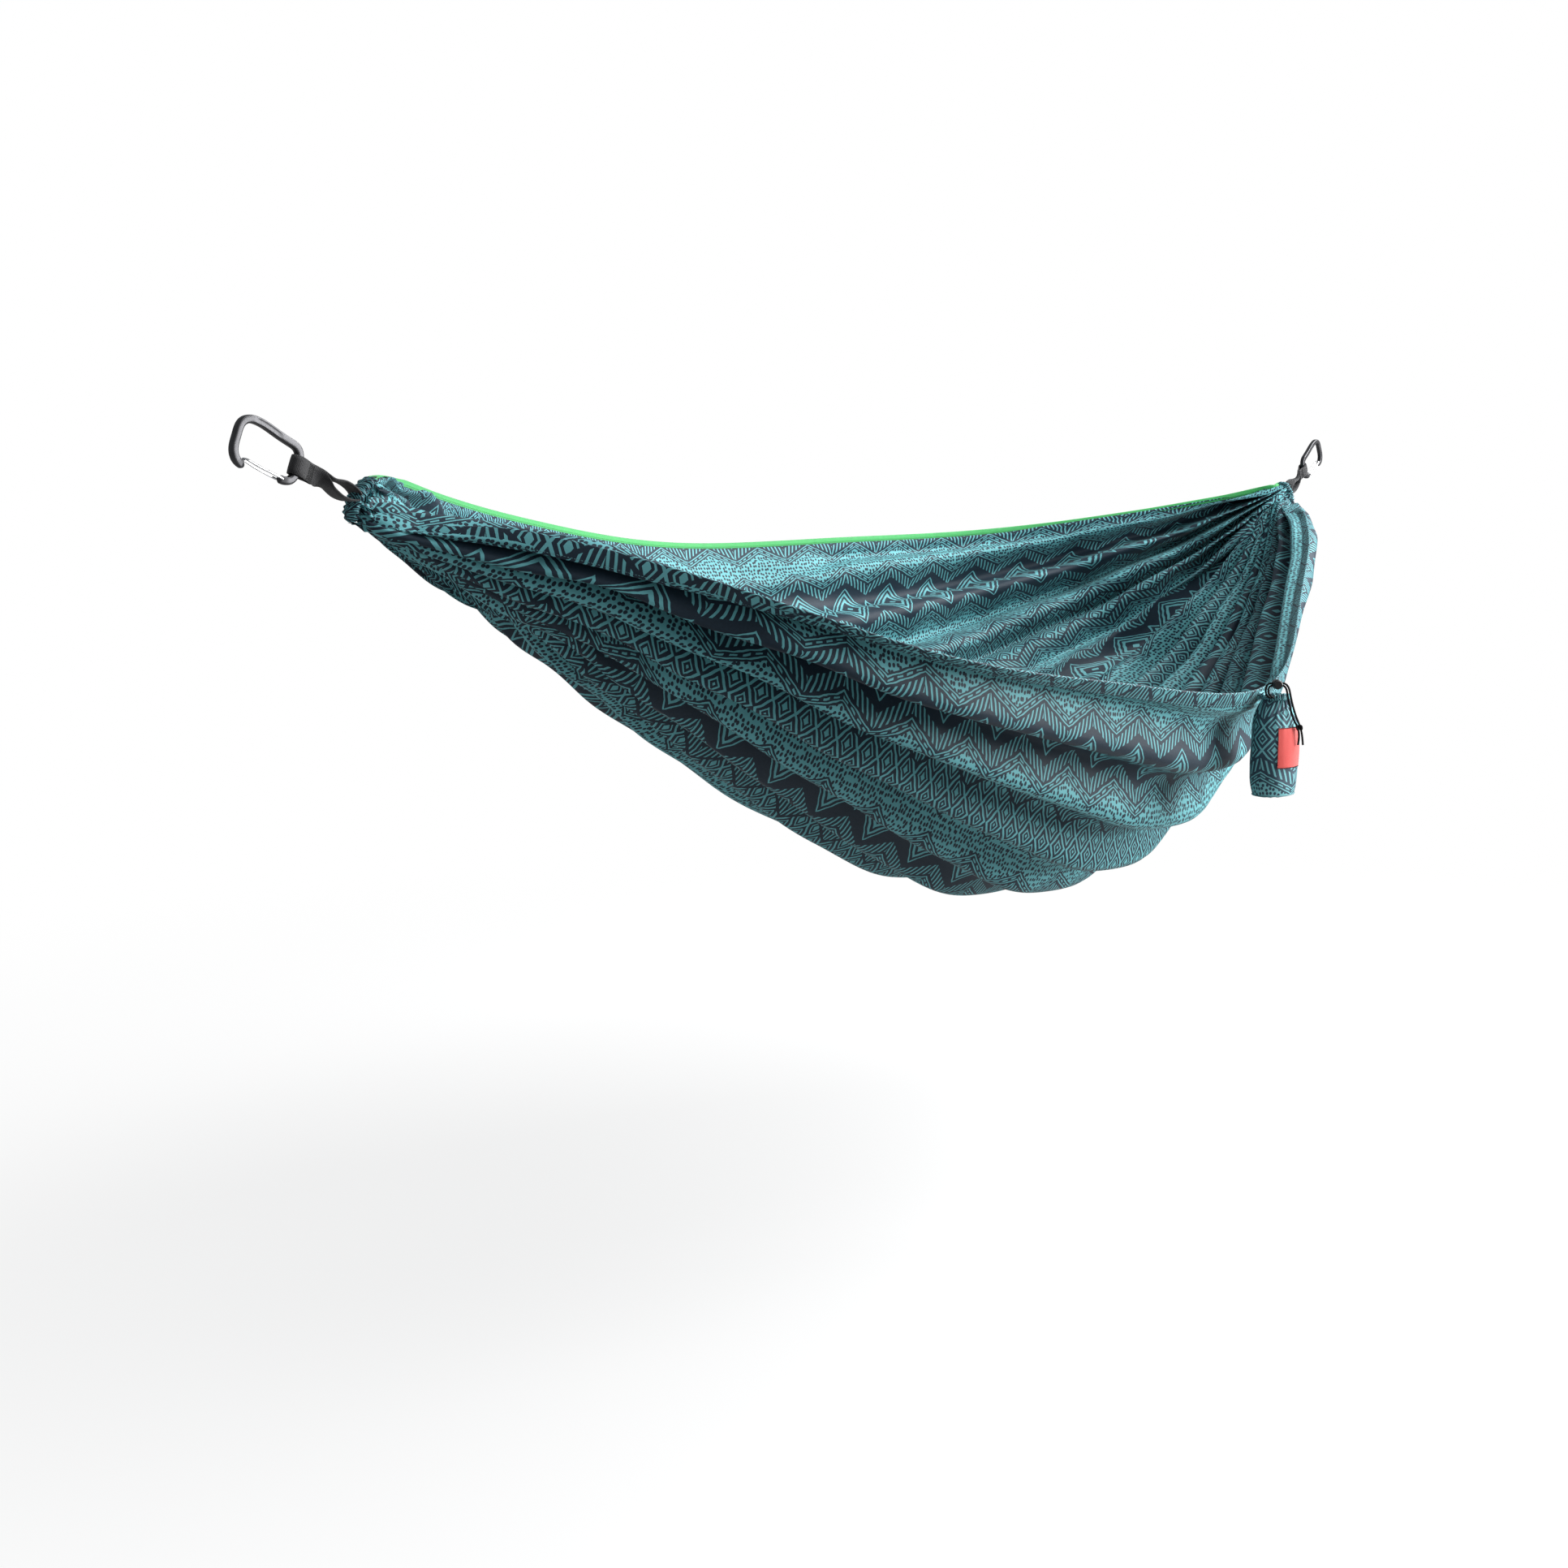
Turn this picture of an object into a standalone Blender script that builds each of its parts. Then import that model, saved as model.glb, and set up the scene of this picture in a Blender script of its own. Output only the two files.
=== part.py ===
"""Camping hammock: gathered-end printed cloth, webbing loops, wire-gate carabiners and a sewn-on stuff sack.

Metres, +Z up. The origin is where the left anchor strap bears in the left carabiner. +X runs along the
hammock to the right carabiner, -Y is the side of the near hem and the stuff sack.
"""

import math

import bmesh
import bpy
import numpy as np
from mathutils import Vector

GAP = 0.0003

# Suspension line: carabiner and webbing loop lie along it, tilted down from the anchor to the cloth
LEFT_TILT = math.radians(22.0)
RIGHT_TILT = math.radians(30.0)
CLIP_FROM_HANG = 0.081
CLOTH_FROM_CLIP = 0.0935
CLOTH_SPAN = 2.45
RIGHT_CLIP_RISE = 0.0138

# Carabiner
ROD_IN_PLANE = 0.0045
ROD_HALF_THICK = 0.0042
ROD_CHAMFER = 0.0018
ROD_STATIONS = 64
WIRE_RADIUS = 0.0013
WIRE_HALF_SPREAD = 0.0060
NOSE_HALF_SPREAD = 0.0036
GATE_PIVOT = (0.0634, -0.0213)
GATE_TIP = (0.0118, -0.0200)

# Webbing loop
WEB_WIDTH = 0.0205
WEB_THICK = 0.0020
PINCH = 0.0017
WRAP_ROOM = 0.0040
WRAP_SIDE_ROOM = 0.0023
EYE_START = 0.064
EYE_LENGTH = 0.0205
EYE_HALF = 0.0220
TWIST_START = 0.018
TWIST_END = 0.050

# End channel, the sleeve of gathered cloth round the webbing's eye
CHANNEL_THICK = 0.0052
CHANNEL_HALF_WIDTH = 0.0150
CHANNEL_SWELL = 0.06
CHANNEL_ROUND = 0.0030
CHANNEL_STEPS = 14

# Cloth: stations along its span, and what the two hems and the belly do there
STATIONS = (0.00, 0.08, 0.20, 0.35, 0.50, 0.65, 0.80, 0.92, 1.00)
NEAR_OUT = (0.013, 0.186, 0.394, 0.473, 0.492, 0.396, 0.252, 0.130, 0.013)
NEAR_Z = (-0.070, -0.123, -0.236, -0.303, -0.342, -0.306, -0.219, -0.125, -0.066)
FAR_OUT = (0.013, 0.178, 0.372, 0.495, 0.535, 0.467, 0.373, 0.177, 0.013)
FAR_Z = (-0.052, -0.042, -0.067, -0.114, -0.148, -0.144, -0.133, -0.093, -0.050)
BELLY = (0.026, 0.077, 0.163, 0.309, 0.417, 0.366, 0.285, 0.169, 0.024)
SKEW = (0.000, 0.024, 0.040, 0.020, -0.005, 0.011, 0.016, 0.006, 0.000)
SECTION_LINEAR = 0.486
SECTION_POWER = 1.051
TILT_FADE = 0.06
CLOTH_THICK = 0.0020
HEM_THICK = 0.0030
NEAR_HEM_WIDTH = 0.020
BINDING_WIDTH = 0.008
HEM_SHARE = 0.16
BINDING_SHARE = 0.09
CLOTH_ROWS = 38
CLOTH_COLUMNS = 19
HEM_COLUMNS = 3
SEAM_GAP = 0.0008

# Stuff sack, measured from the middle of its mouth
SACK_X = 1.448
SACK_Z = -0.352
MOUTH_INNER = 0.0150
MOUTH_OUTER = 0.0210
MOUTH_HALF_HEIGHT = 0.0030
SACK_WALL = 0.0016
SACK_PROFILE = (
    (-0.0034, 0.0185, 0.0185),
    (-0.0100, 0.0250, 0.0215),
    (-0.0200, 0.0345, 0.0255),
    (-0.0350, 0.0415, 0.0290),
    (-0.0600, 0.0450, 0.0310),
    (-0.1050, 0.0460, 0.0310),
    (-0.1300, 0.0440, 0.0290),
    (-0.1420, 0.0405, 0.0265),
)
BASE_THICK = 0.0030
BASE_INSETS = (0.001, 0.005)
TAB_REACH = 0.0040
TAB_HALF_WIDTH = 0.0080
TAB_HALF_TALL = 0.0035
TAB_ARCS = (0.003, 0.010, 0.017)
LABEL_CENTRE = math.radians(-106.0)
LABEL_HALF_ARC = math.radians(33.0)
LABEL_TOP = -0.042
LABEL_BOTTOM = -0.100
LABEL_THICK = 0.0009
LABEL_LIFT = 0.0005

# Drawcord, in the mouth's own directions: across, outward and up
ACROSS = Vector((0.597, -0.802, 0.0)).normalized()
OUTWARD = Vector((ACROSS.y, -ACROSS.x, 0.0))
CORD_RADIUS = 0.0015
CORD_RING = 0.0185
CORD_EXIT = math.radians(-25.0)
CORD_EXIT_HALF = math.radians(17.0)
TAIL_A_ROUTE = (
    (-0.0093, 0.0160, 0.0000), (-0.0108, 0.0180, 0.0000), (-0.0125, 0.0194, 0.0003),
    (-0.0165, 0.0220, 0.0020), (-0.0195, 0.0235, 0.0063), (-0.0206, 0.0240, 0.0112),
    (-0.0199, 0.0241, 0.0162), (-0.0174, 0.0240, 0.0200), (-0.0130, 0.0240, 0.0216),
    (-0.0060, 0.0240, 0.0217), (0.0000, 0.0240, 0.0217), (0.0045, 0.0240, 0.0216),
    (0.0087, 0.0240, 0.0199), (0.0118, 0.0241, 0.0163), (0.0137, 0.0243, 0.0115),
    (0.0150, 0.0247, 0.0055), (0.0165, 0.0251, -0.0015), (0.0184, 0.0254, -0.0090),
    (0.0208, 0.0254, -0.0170), (0.0237, 0.0249, -0.0250), (0.0272, 0.0238, -0.0330),
    (0.0310, 0.0225, -0.0415), (0.0336, 0.0216, -0.0500), (0.0352, 0.0211, -0.0590),
    (0.0362, 0.0208, -0.0680),
)
TAIL_B_ROUTE = (
    (-0.0063, 0.0174, 0.0000), (-0.0071, 0.0195, 0.0000), (-0.0083, 0.0214, 0.0003),
    (-0.0119, 0.0231, 0.0024), (-0.0153, 0.0239, 0.0060), (-0.0167, 0.0241, 0.0103),
    (-0.0161, 0.0241, 0.0146), (-0.0137, 0.0240, 0.0175), (-0.0098, 0.0240, 0.0183),
    (-0.0045, 0.0240, 0.0183), (0.0000, 0.0240, 0.0183), (0.0040, 0.0240, 0.0182),
    (0.0068, 0.0240, 0.0168), (0.0088, 0.0241, 0.0139), (0.0101, 0.0243, 0.0097),
    (0.0112, 0.0247, 0.0040), (0.0126, 0.0251, -0.0030), (0.0144, 0.0254, -0.0105),
    (0.0167, 0.0254, -0.0190), (0.0196, 0.0249, -0.0275), (0.0234, 0.0238, -0.0355),
    (0.0278, 0.0225, -0.0435), (0.0298, 0.0217, -0.0525), (0.0298, 0.0213, -0.0610),
    (0.0290, 0.0210, -0.0680),
)
KNOT_CENTRE = (0.0294, 0.0225, -0.0425)
KNOT_RADII = (0.0056, 0.0042, 0.0060)
KNOT_ROOM = 0.0004

# Cord lock
LOCK_CENTRE = (-0.0045, 0.0240, 0.0200)
BARREL_RADIUS = 0.0070
BARREL_BORE = 0.0053
BARREL_BACK = 0.0068
BARREL_FRONT = 0.0070
BARREL_FLOOR = 0.0012
BARREL_BEVEL = 0.0010
PLUNGER_RADIUS = 0.0050
PLUNGER_BACK = 0.0022
PLUNGER_BEVEL = 0.0008
BUTTON_RADIUS = 0.0062
BUTTON_THICK = 0.0028
BUTTON_BEVEL = 0.0011
PLUNGER_STROKE = 0.0018
SLOT_HALF_TALL = 0.0037
SLOT_HALF_DEEP = 0.0018
SPRING_RADIUS = 0.0034
SPRING_WIRE = 0.00022
SPRING_TURNS = 2
SPRING_STEPS = 16


def clear_scene():
    for item in list(bpy.data.objects):
        bpy.data.objects.remove(item, do_unlink=True)


def material(name, colour, roughness, metallic=0.0):
    made = bpy.data.materials.new(name)
    made.use_nodes = True
    shader = made.node_tree.nodes["Principled BSDF"]
    shader.inputs["Base Color"].default_value = (*colour, 1.0)
    shader.inputs["Roughness"].default_value = roughness
    shader.inputs["Metallic"].default_value = metallic
    return made


def object_from(name, vertices, faces, finish, origin=(0.0, 0.0, 0.0), smooth=True):
    """A closed mesh given in world coordinates, with its faces pointing out and its origin where asked."""
    mesh = bpy.data.meshes.new(name)
    base = Vector(origin)
    mesh.from_pydata([Vector(v) - base for v in vertices], [], faces)
    work = bmesh.new()
    work.from_mesh(mesh)
    bmesh.ops.recalc_face_normals(work, faces=work.faces)
    work.to_mesh(mesh)
    work.free()
    mesh.materials.append(finish)
    made = bpy.data.objects.new(name, mesh)
    made.location = base
    bpy.context.scene.collection.objects.link(made)
    if smooth:
        mesh.shade_smooth()
        mesh.set_sharp_from_angle(angle=math.radians(40.0))
    return made


def smooth_through(stations, values, at):
    """Natural cubic spline through values at stations, read at the places asked for."""
    t = np.array(stations, float)
    v = np.array(values, float)
    count = len(t)
    h = np.diff(t)
    system = np.eye(count)
    right = np.zeros((count,) + v.shape[1:])
    for i in range(1, count - 1):
        system[i, i - 1] = h[i - 1]
        system[i, i] = 2.0 * (h[i - 1] + h[i])
        system[i, i + 1] = h[i]
        right[i] = 6.0 * ((v[i + 1] - v[i]) / h[i] - (v[i] - v[i - 1]) / h[i - 1])
    bend = np.linalg.solve(system, right)
    at = np.asarray(at, float)
    k = np.clip(np.searchsorted(t, at, side="right") - 1, 0, count - 2)
    shape = at.shape + (1,) * (v.ndim - 1)
    a = ((t[k + 1] - at) / h[k]).reshape(shape)
    b = ((at - t[k]) / h[k]).reshape(shape)
    step = h[k].reshape(shape)
    return a * v[k] + b * v[k + 1] + ((a**3 - a) * bend[k] + (b**3 - b) * bend[k + 1]) * step**2 / 6.0


def smoothstep(value):
    t = min(max(value, 0.0), 1.0)
    return t * t * (3.0 - 2.0 * t)


def loft(rings, closed_path=False):
    """Vertices and faces of a skin over equal rings of points, with flat caps unless the path closes."""
    size = len(rings[0])
    vertices = [tuple(p) for ring in rings for p in ring]
    faces = []
    spans = len(rings) if closed_path else len(rings) - 1
    for i in range(spans):
        a = i * size
        b = ((i + 1) % len(rings)) * size
        for k in range(size):
            n = (k + 1) % size
            faces.append((a + k, a + n, b + n, b + k))
    if not closed_path:
        faces.append(tuple(range(size)))
        faces.append(tuple(range(len(vertices) - size, len(vertices))))
    return vertices, faces


# ---- suspension frames


class Line:
    """One end's suspension line: u runs from the anchor to the cloth, w stands across it, v is world Y."""

    def __init__(self, hang, tilt, sign):
        self.u = Vector((sign * math.cos(tilt), 0.0, -math.sin(tilt)))
        self.w = Vector((sign * math.sin(tilt), 0.0, math.cos(tilt)))
        self.v = Vector((0.0, 1.0, 0.0))
        self.hang = Vector(hang)

    def at(self, u, w, v):
        return self.hang + self.u * u + self.w * w + self.v * v


def left_line():
    return Line((0.0, 0.0, 0.0), LEFT_TILT, 1.0)


def left_cloth_start():
    return left_line().at(CLIP_FROM_HANG + CLOTH_FROM_CLIP, 0.0, 0.0)


def right_line():
    left_clip = left_line().at(CLIP_FROM_HANG, 0.0, 0.0)
    clip_x = left_cloth_start().x + CLOTH_SPAN + CLOTH_FROM_CLIP * math.cos(RIGHT_TILT)
    clip_z = left_clip.z + RIGHT_CLIP_RISE
    hang = (
        clip_x + CLIP_FROM_HANG * math.cos(RIGHT_TILT),
        0.0,
        clip_z + CLIP_FROM_HANG * math.sin(RIGHT_TILT),
    )
    return Line(hang, RIGHT_TILT, -1.0)


# ---- carabiners


def carabiner_route():
    """Centre line of the rod from the nose round the basket, spine and narrow end to the gate hinge."""
    return (
        (0.0150, -0.0266), (0.0085, -0.0262), (0.0020, -0.0232), (-0.0030, -0.0165),
        (-0.0046, -0.0070), (-0.0046, 0.0000), (-0.0046, 0.0070),
        (-0.0022, 0.0155), (0.0045, 0.0212), (0.0140, 0.0236), (0.0400, 0.0222), (0.0630, 0.0200),
        (0.0754, 0.0172), (0.0804, 0.0100), (0.0810, 0.0000), (0.0804, -0.0105),
        (0.0758, -0.0180), (0.0685, -0.0210), (0.0600, -0.0214),
    )


def rod_section(centre, across, line, half, depth):
    """Eight-sided section of the rod: flat faces with bevelled edges."""
    c = ROD_CHAMFER
    outline = (
        (half, -(depth - c)), (half, depth - c), (half - c, depth), (-(half - c), depth),
        (-half, depth - c), (-half, -(depth - c)), (-(half - c), -depth), (half - c, -depth),
    )
    ring = []
    for a, b in outline:
        ring.append(line.at(centre[0] + across[0] * a, centre[1] + across[1] * a, b))
    return ring


def carabiner_body(name, line, finish):
    route = np.array(carabiner_route())
    lengths = np.concatenate([[0.0], np.cumsum(np.linalg.norm(np.diff(route, axis=0), axis=1))])
    path = smooth_through(lengths, route, np.linspace(0.0, lengths[-1], ROD_STATIONS))
    # the straight land where the anchor strap bears stays truly flat
    land = np.abs(path[:, 1]) < 0.0062
    basket = land & (path[:, 0] < 0.02)
    path[basket, 0] = -ROD_IN_PLANE
    tangent = np.gradient(path, axis=0)
    tangent[basket] = (0.0, 1.0)
    tangent /= np.linalg.norm(tangent, axis=1)[:, None]
    rings = []
    total = len(path) - 1
    for i, (centre, t) in enumerate(zip(path, tangent)):
        across = (-t[1], t[0])
        from_end = min(i, total - i)
        taper = 0.62 + 0.38 * smoothstep(from_end / 5.0)
        rings.append(rod_section(centre, across, line, ROD_IN_PLANE, ROD_HALF_THICK * taper))
    vertices, faces = loft(rings)
    made = object_from(name, vertices, faces, finish, origin=line.hang)
    cutter = pivot_cutter(name + "_pivot_cutter", line)
    cut(made, [cutter])
    return made


def pivot_cutter(name, line):
    """Cross bore at the gate hinge, which takes the wire's turned-in ends."""
    radius = WIRE_RADIUS + GAP
    rings = []
    for v in (-0.008, 0.008):
        ring = []
        for k in range(12):
            angle = 2.0 * math.pi * k / 12
            u = GATE_PIVOT[0] + radius * math.cos(angle)
            w = GATE_PIVOT[1] + radius * math.sin(angle)
            ring.append(line.at(u, w, v))
        rings.append(ring)
    vertices, faces = loft(rings)
    cutter = object_from(name, vertices, faces, bpy.data.materials[0], smooth=False)
    cutter.hide_render = True
    cutter.display_type = "WIRE"
    return cutter


def carabiner_gate(name, line, finish):
    """Wire gate: one wire from inside the pivot bore, out along the rod, round the nose and back."""
    pu, pw = GATE_PIVOT
    tu, tw = GATE_TIP
    half_route = (
        (pu, pw, 0.0012), (pu, pw, WIRE_HALF_SPREAD - 0.0012), (pu - 0.0006, pw, WIRE_HALF_SPREAD - 0.0002),
        (pu - 0.0024, pw, WIRE_HALF_SPREAD), (pu - 0.0140, pw + 0.0001, WIRE_HALF_SPREAD),
        (pu - 0.0320, pw + 0.0002, 0.5 * (WIRE_HALF_SPREAD + NOSE_HALF_SPREAD)),
        (tu + 0.0040, tw, NOSE_HALF_SPREAD), (tu + 0.0012, tw, NOSE_HALF_SPREAD - 0.0010),
        (tu, tw, NOSE_HALF_SPREAD - 0.0028),
    )
    route = list(half_route) + [(u, w, -v) for u, w, v in reversed(half_route)]
    return tube(name, [line.at(u, w, v) for u, w, v in route], WIRE_RADIUS, finish, origin=line.at(pu, pw, 0.0))


def tube(name, points, radius, finish, origin=(0.0, 0.0, 0.0), resolution=2):
    """Round wire or cord along a polyline, with filled ends."""
    curve = bpy.data.curves.new(name, "CURVE")
    curve.dimensions = "3D"
    curve.bevel_depth = radius
    curve.bevel_resolution = resolution
    curve.use_fill_caps = True
    curve.twist_mode = "MINIMUM"
    spline = curve.splines.new("POLY")
    spline.points.add(len(points) - 1)
    base = Vector(origin)
    for slot, point in zip(spline.points, points):
        slot.co = (*(Vector(point) - base), 1.0)
    curve.materials.append(finish)
    made = bpy.data.objects.new(name, curve)
    made.location = base
    bpy.context.scene.collection.objects.link(made)
    return made


# ---- webbing loops and end channels


def loop_height(u):
    """Half height of the webbing loop's centre line at a distance u from the clip bar."""
    wrap_u = ROD_IN_PLANE + WRAP_ROOM
    wrap_q = ROD_HALF_THICK + WRAP_SIDE_ROOM
    if u <= 0.0:
        return wrap_q * math.sqrt(max(0.0, 1.0 - (u / wrap_u) ** 2))
    if u < EYE_START:
        closing = smoothstep(u / 0.020)
        opening = smoothstep((u - 0.034) / (EYE_START - 0.034))
        return wrap_q + (PINCH - wrap_q) * closing + (EYE_HALF - PINCH) * opening
    return EYE_HALF * math.sqrt(max(0.0, 1.0 - ((u - EYE_START) / EYE_LENGTH) ** 2))


def loop_centre_line():
    """Closed centre line of the loop before it is twisted, as (distance from clip bar, height) pairs."""
    wrap_u = ROD_IN_PLANE + WRAP_ROOM
    upper = [(-wrap_u * math.cos(math.radians(a)), None) for a in range(0, 90, 15)]
    upper += [(EYE_START * k / 18.0, None) for k in range(0, 18)]
    upper += [(EYE_START + EYE_LENGTH * math.sin(math.radians(a)), None) for a in range(0, 91, 10)]
    upper = [(u, loop_height(u)) for u, _ in upper]
    lower = [(u, -h) for u, h in reversed(upper[1:-1])]
    return upper + lower


def twisted(line, u, q, across):
    """Places a loop point: the loop turns a quarter turn about its line between the bar and the eye."""
    angle = 0.5 * math.pi * smoothstep((u - TWIST_START) / (TWIST_END - TWIST_START))
    v = q * math.cos(angle) + across * math.sin(angle)
    w = q * math.sin(angle) - across * math.cos(angle)
    return line.at(CLIP_FROM_HANG + u, w, v)


def webbing_loop(name, line, finish):
    path = np.array(loop_centre_line())
    ahead = np.roll(path, -1, axis=0) - np.roll(path, 1, axis=0)
    ahead /= np.linalg.norm(ahead, axis=1)[:, None]
    rings = []
    for (u, q), (tu, tq) in zip(path, ahead):
        normal = (-tq, tu)
        ring = []
        for out, across in ((-1, -1), (1, -1), (1, 1), (-1, 1)):
            offset = 0.5 * WEB_THICK * out
            ring.append(twisted(line, u + normal[0] * offset, q + normal[1] * offset, 0.5 * WEB_WIDTH * across))
        rings.append(ring)
    vertices, faces = loft(rings, closed_path=True)
    return object_from(name, vertices, faces, finish)


def end_channel(name, line, finish):
    """Sleeve of gathered cloth round the eye of the loop, hollow from end to end."""
    steps = CHANNEL_STEPS
    rings = []
    for k in range(steps + 1):
        angle = math.pi * k / steps
        u = EYE_START + EYE_LENGTH * math.sin(angle)
        q = EYE_HALF * math.cos(angle)
        t = Vector((EYE_LENGTH * math.cos(angle), -EYE_HALF * math.sin(angle))).normalized()
        normal = (-t.y, t.x)
        swell = 1.0 + CHANNEL_SWELL * math.cos(6.0 * angle)
        outer = channel_outline(CHANNEL_THICK * swell, CHANNEL_HALF_WIDTH * swell, CHANNEL_ROUND)
        bore = channel_outline(0.5 * WEB_THICK + 3.0 * GAP, 0.5 * WEB_WIDTH + 2.0 * GAP, GAP)
        rings.append([
            [line.at(CLIP_FROM_HANG + u + normal[0] * a, q + normal[1] * a, b) for a, b in outline]
            for outline in (outer, bore)
        ])
    vertices = [tuple(p) for pair in rings for ring in pair for p in ring]
    size = len(rings[0][0])
    faces = []
    for i in range(steps):
        for layer in range(2):
            a = (2 * i + layer) * size
            b = (2 * i + 2 + layer) * size
            for n in range(size):
                m = (n + 1) % size
                faces.append((a + n, a + m, b + m, b + n))
    for i in (0, steps):
        a = 2 * i * size
        b = a + size
        for n in range(size):
            m = (n + 1) % size
            faces.append((a + n, a + m, b + m, b + n))
    return object_from(name, vertices, faces, finish)


def channel_outline(half_thick, half_wide, chamfer):
    t = half_thick
    s = half_wide
    c = min(chamfer, 0.6 * t)
    return (
        (t, -(s - c)), (t, s - c), (t - c, s), (-(t - c), s),
        (-t, s - c), (-t, -(s - c)), (-(t - c), -s), (t - c, -s),
    )


# ---- cloth


def section_curve(share):
    """Fine polyline across the cloth from the near hem to the far hem, at a share of the span."""
    near_y = -smooth_through(STATIONS, NEAR_OUT, share)
    near_z = smooth_through(STATIONS, NEAR_Z, share)
    far_y = smooth_through(STATIONS, FAR_OUT, share)
    far_z = smooth_through(STATIONS, FAR_Z, share)
    depth = smooth_through(STATIONS, BELLY, share)
    skew = smooth_through(STATIONS, SKEW, share)
    angle = np.linspace(0.0, math.pi, 121)
    across = (1.0 - SECTION_LINEAR) * (1.0 - np.cos(angle)) / 2.0 + SECTION_LINEAR * angle / math.pi
    y = near_y + (far_y - near_y) * across + skew * np.sin(angle)
    z = near_z + (far_z - near_z) * across - depth * np.sin(angle) ** SECTION_POWER
    start = left_cloth_start()
    left_lean = math.tan(LEFT_TILT) * max(0.0, 1.0 - share / TILT_FADE) ** 2
    right_lean = math.tan(RIGHT_TILT) * max(0.0, 1.0 - (1.0 - share) / TILT_FADE) ** 2
    middle = 0.5 * (near_z + far_z)
    x = start.x + GAP + (CLOTH_SPAN - 2.0 * GAP) * share + (left_lean - right_lean) * (z - middle)
    return np.stack([x, y, z], axis=-1)


def cloth_grid(shares, arc_rule):
    """Points of the cloth's middle surface: a row at each share of the span, its columns at the arc rule's places."""
    rows = []
    for share in shares:
        curve = section_curve(share)
        arc = np.concatenate([[0.0], np.cumsum(np.linalg.norm(np.diff(curve, axis=0), axis=1))])
        at = arc_rule(arc[-1])
        rows.append(np.stack([np.interp(at, arc, curve[:, k]) for k in range(3)], axis=-1))
    return np.array(rows)


def surface_normals(grid):
    along = np.gradient(grid, axis=0)
    across = np.gradient(grid, axis=1)
    normal = np.cross(along, across)
    return normal / np.linalg.norm(normal, axis=2)[..., None]


def between_layers(low, high):
    """Closed solid between two grids of points."""
    rows, columns = low.shape[:2]
    count = rows * columns
    vertices = [tuple(p) for layer in (low, high) for row in layer for p in row]
    faces = []
    for base in (0, count):
        for i in range(rows - 1):
            for k in range(columns - 1):
                a = base + i * columns + k
                faces.append((a, a + 1, a + columns + 1, a + columns))
    rim = [k for k in range(columns)]
    rim += [i * columns + columns - 1 for i in range(1, rows)]
    rim += [(rows - 1) * columns + k for k in range(columns - 2, -1, -1)]
    rim += [i * columns for i in range(rows - 2, 0, -1)]
    for a, b in zip(rim, rim[1:] + rim[:1]):
        faces.append((a, b, b + count, a + count))
    return vertices, faces


def hem_width(total):
    return min(NEAR_HEM_WIDTH, HEM_SHARE * total)


def binding_width(total):
    return min(BINDING_WIDTH, BINDING_SHARE * total)


def span_shares(rows):
    """Stations along the span, closer together towards the gathered ends."""
    even = np.linspace(0.0, 1.0, rows)
    return 0.35 * even + 0.65 * 0.5 * (1.0 - np.cos(math.pi * even))


def seam_columns(total):
    """Arc places across the cloth, with one column on each seam: hem, then cloth, then binding."""
    hem = hem_width(total)
    tape = total - binding_width(total)
    parts = (np.linspace(0.0, hem, HEM_COLUMNS), np.linspace(hem, tape, CLOTH_COLUMNS)[1:], [total])
    return np.concatenate(parts)


def cloth_pieces(cloth_finish, tape_finish):
    """Near hem, cloth and far binding, which share their seams' normals and so never cross there."""
    grid = cloth_grid(span_shares(CLOTH_ROWS), seam_columns)
    normal = surface_normals(grid)
    first = HEM_COLUMNS - 1
    last = first + CLOTH_COLUMNS - 1
    pieces = (
        ("near_hem", cloth_finish, 0, first, HEM_THICK),
        ("hammock_cloth", cloth_finish, first, last, CLOTH_THICK),
        ("far_hem_binding", tape_finish, last, last + 1, HEM_THICK),
    )
    for name, finish, low, high, thickness in pieces:
        points = grid[:, low:high + 1].copy()
        offset = 0.5 * thickness * normal[:, low:high + 1]
        if low == first:
            for edge, inside in ((0, 1), (-1, -2)):
                inward = points[:, inside] - points[:, edge]
                points[:, edge] += SEAM_GAP * inward / np.linalg.norm(inward, axis=1)[:, None]
        vertices, faces = between_layers(points - offset, points + offset)
        object_from(name, vertices, faces, finish)


# ---- stuff sack


def sack_share():
    return (SACK_X - left_cloth_start().x) / CLOTH_SPAN


def mouth_centre():
    """Middle of the sack's mouth, one tab's thickness outside the near hem."""
    hem = -float(smooth_through(STATIONS, NEAR_OUT, sack_share()))
    return Vector((SACK_X, hem - TAB_REACH - MOUTH_OUTER, SACK_Z))


def sack_hinge():
    """Where the sack swings from: the tab's outer face, level with the top of the mouth."""
    centre = mouth_centre()
    return Vector((centre.x, centre.y + MOUTH_OUTER + GAP, centre.z + MOUTH_HALF_HEIGHT))


def ellipse_ring(centre, z, half_x, half_y, count=24):
    ring = []
    for k in range(count):
        angle = 2.0 * math.pi * k / count
        ring.append(centre + Vector((half_x * math.cos(angle), half_y * math.sin(angle), z)))
    return ring


def sack_radii(z):
    profile = sorted(SACK_PROFILE)
    heights = [row[0] for row in profile]
    half_x = float(smooth_through(heights, [row[1] for row in profile], z))
    half_y = float(smooth_through(heights, [row[2] for row in profile], z))
    return half_x, half_y


def sack_body(finish):
    """Slack bag wall, open at the mouth and at the base disc."""
    centre = mouth_centre()
    top = SACK_PROFILE[0][0]
    bottom = SACK_PROFILE[-1][0]
    levels = [top + (bottom - top) * k / 8.0 for k in range(9)]
    outer = [ellipse_ring(centre, z, *sack_radii(z)) for z in levels]
    inner = [ellipse_ring(centre, z, *(r - SACK_WALL for r in sack_radii(z))) for z in levels]
    vertices, faces = loft(outer + inner[::-1], closed_path=True)
    return object_from("sack_body", vertices, faces, finish, origin=sack_hinge())


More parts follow.
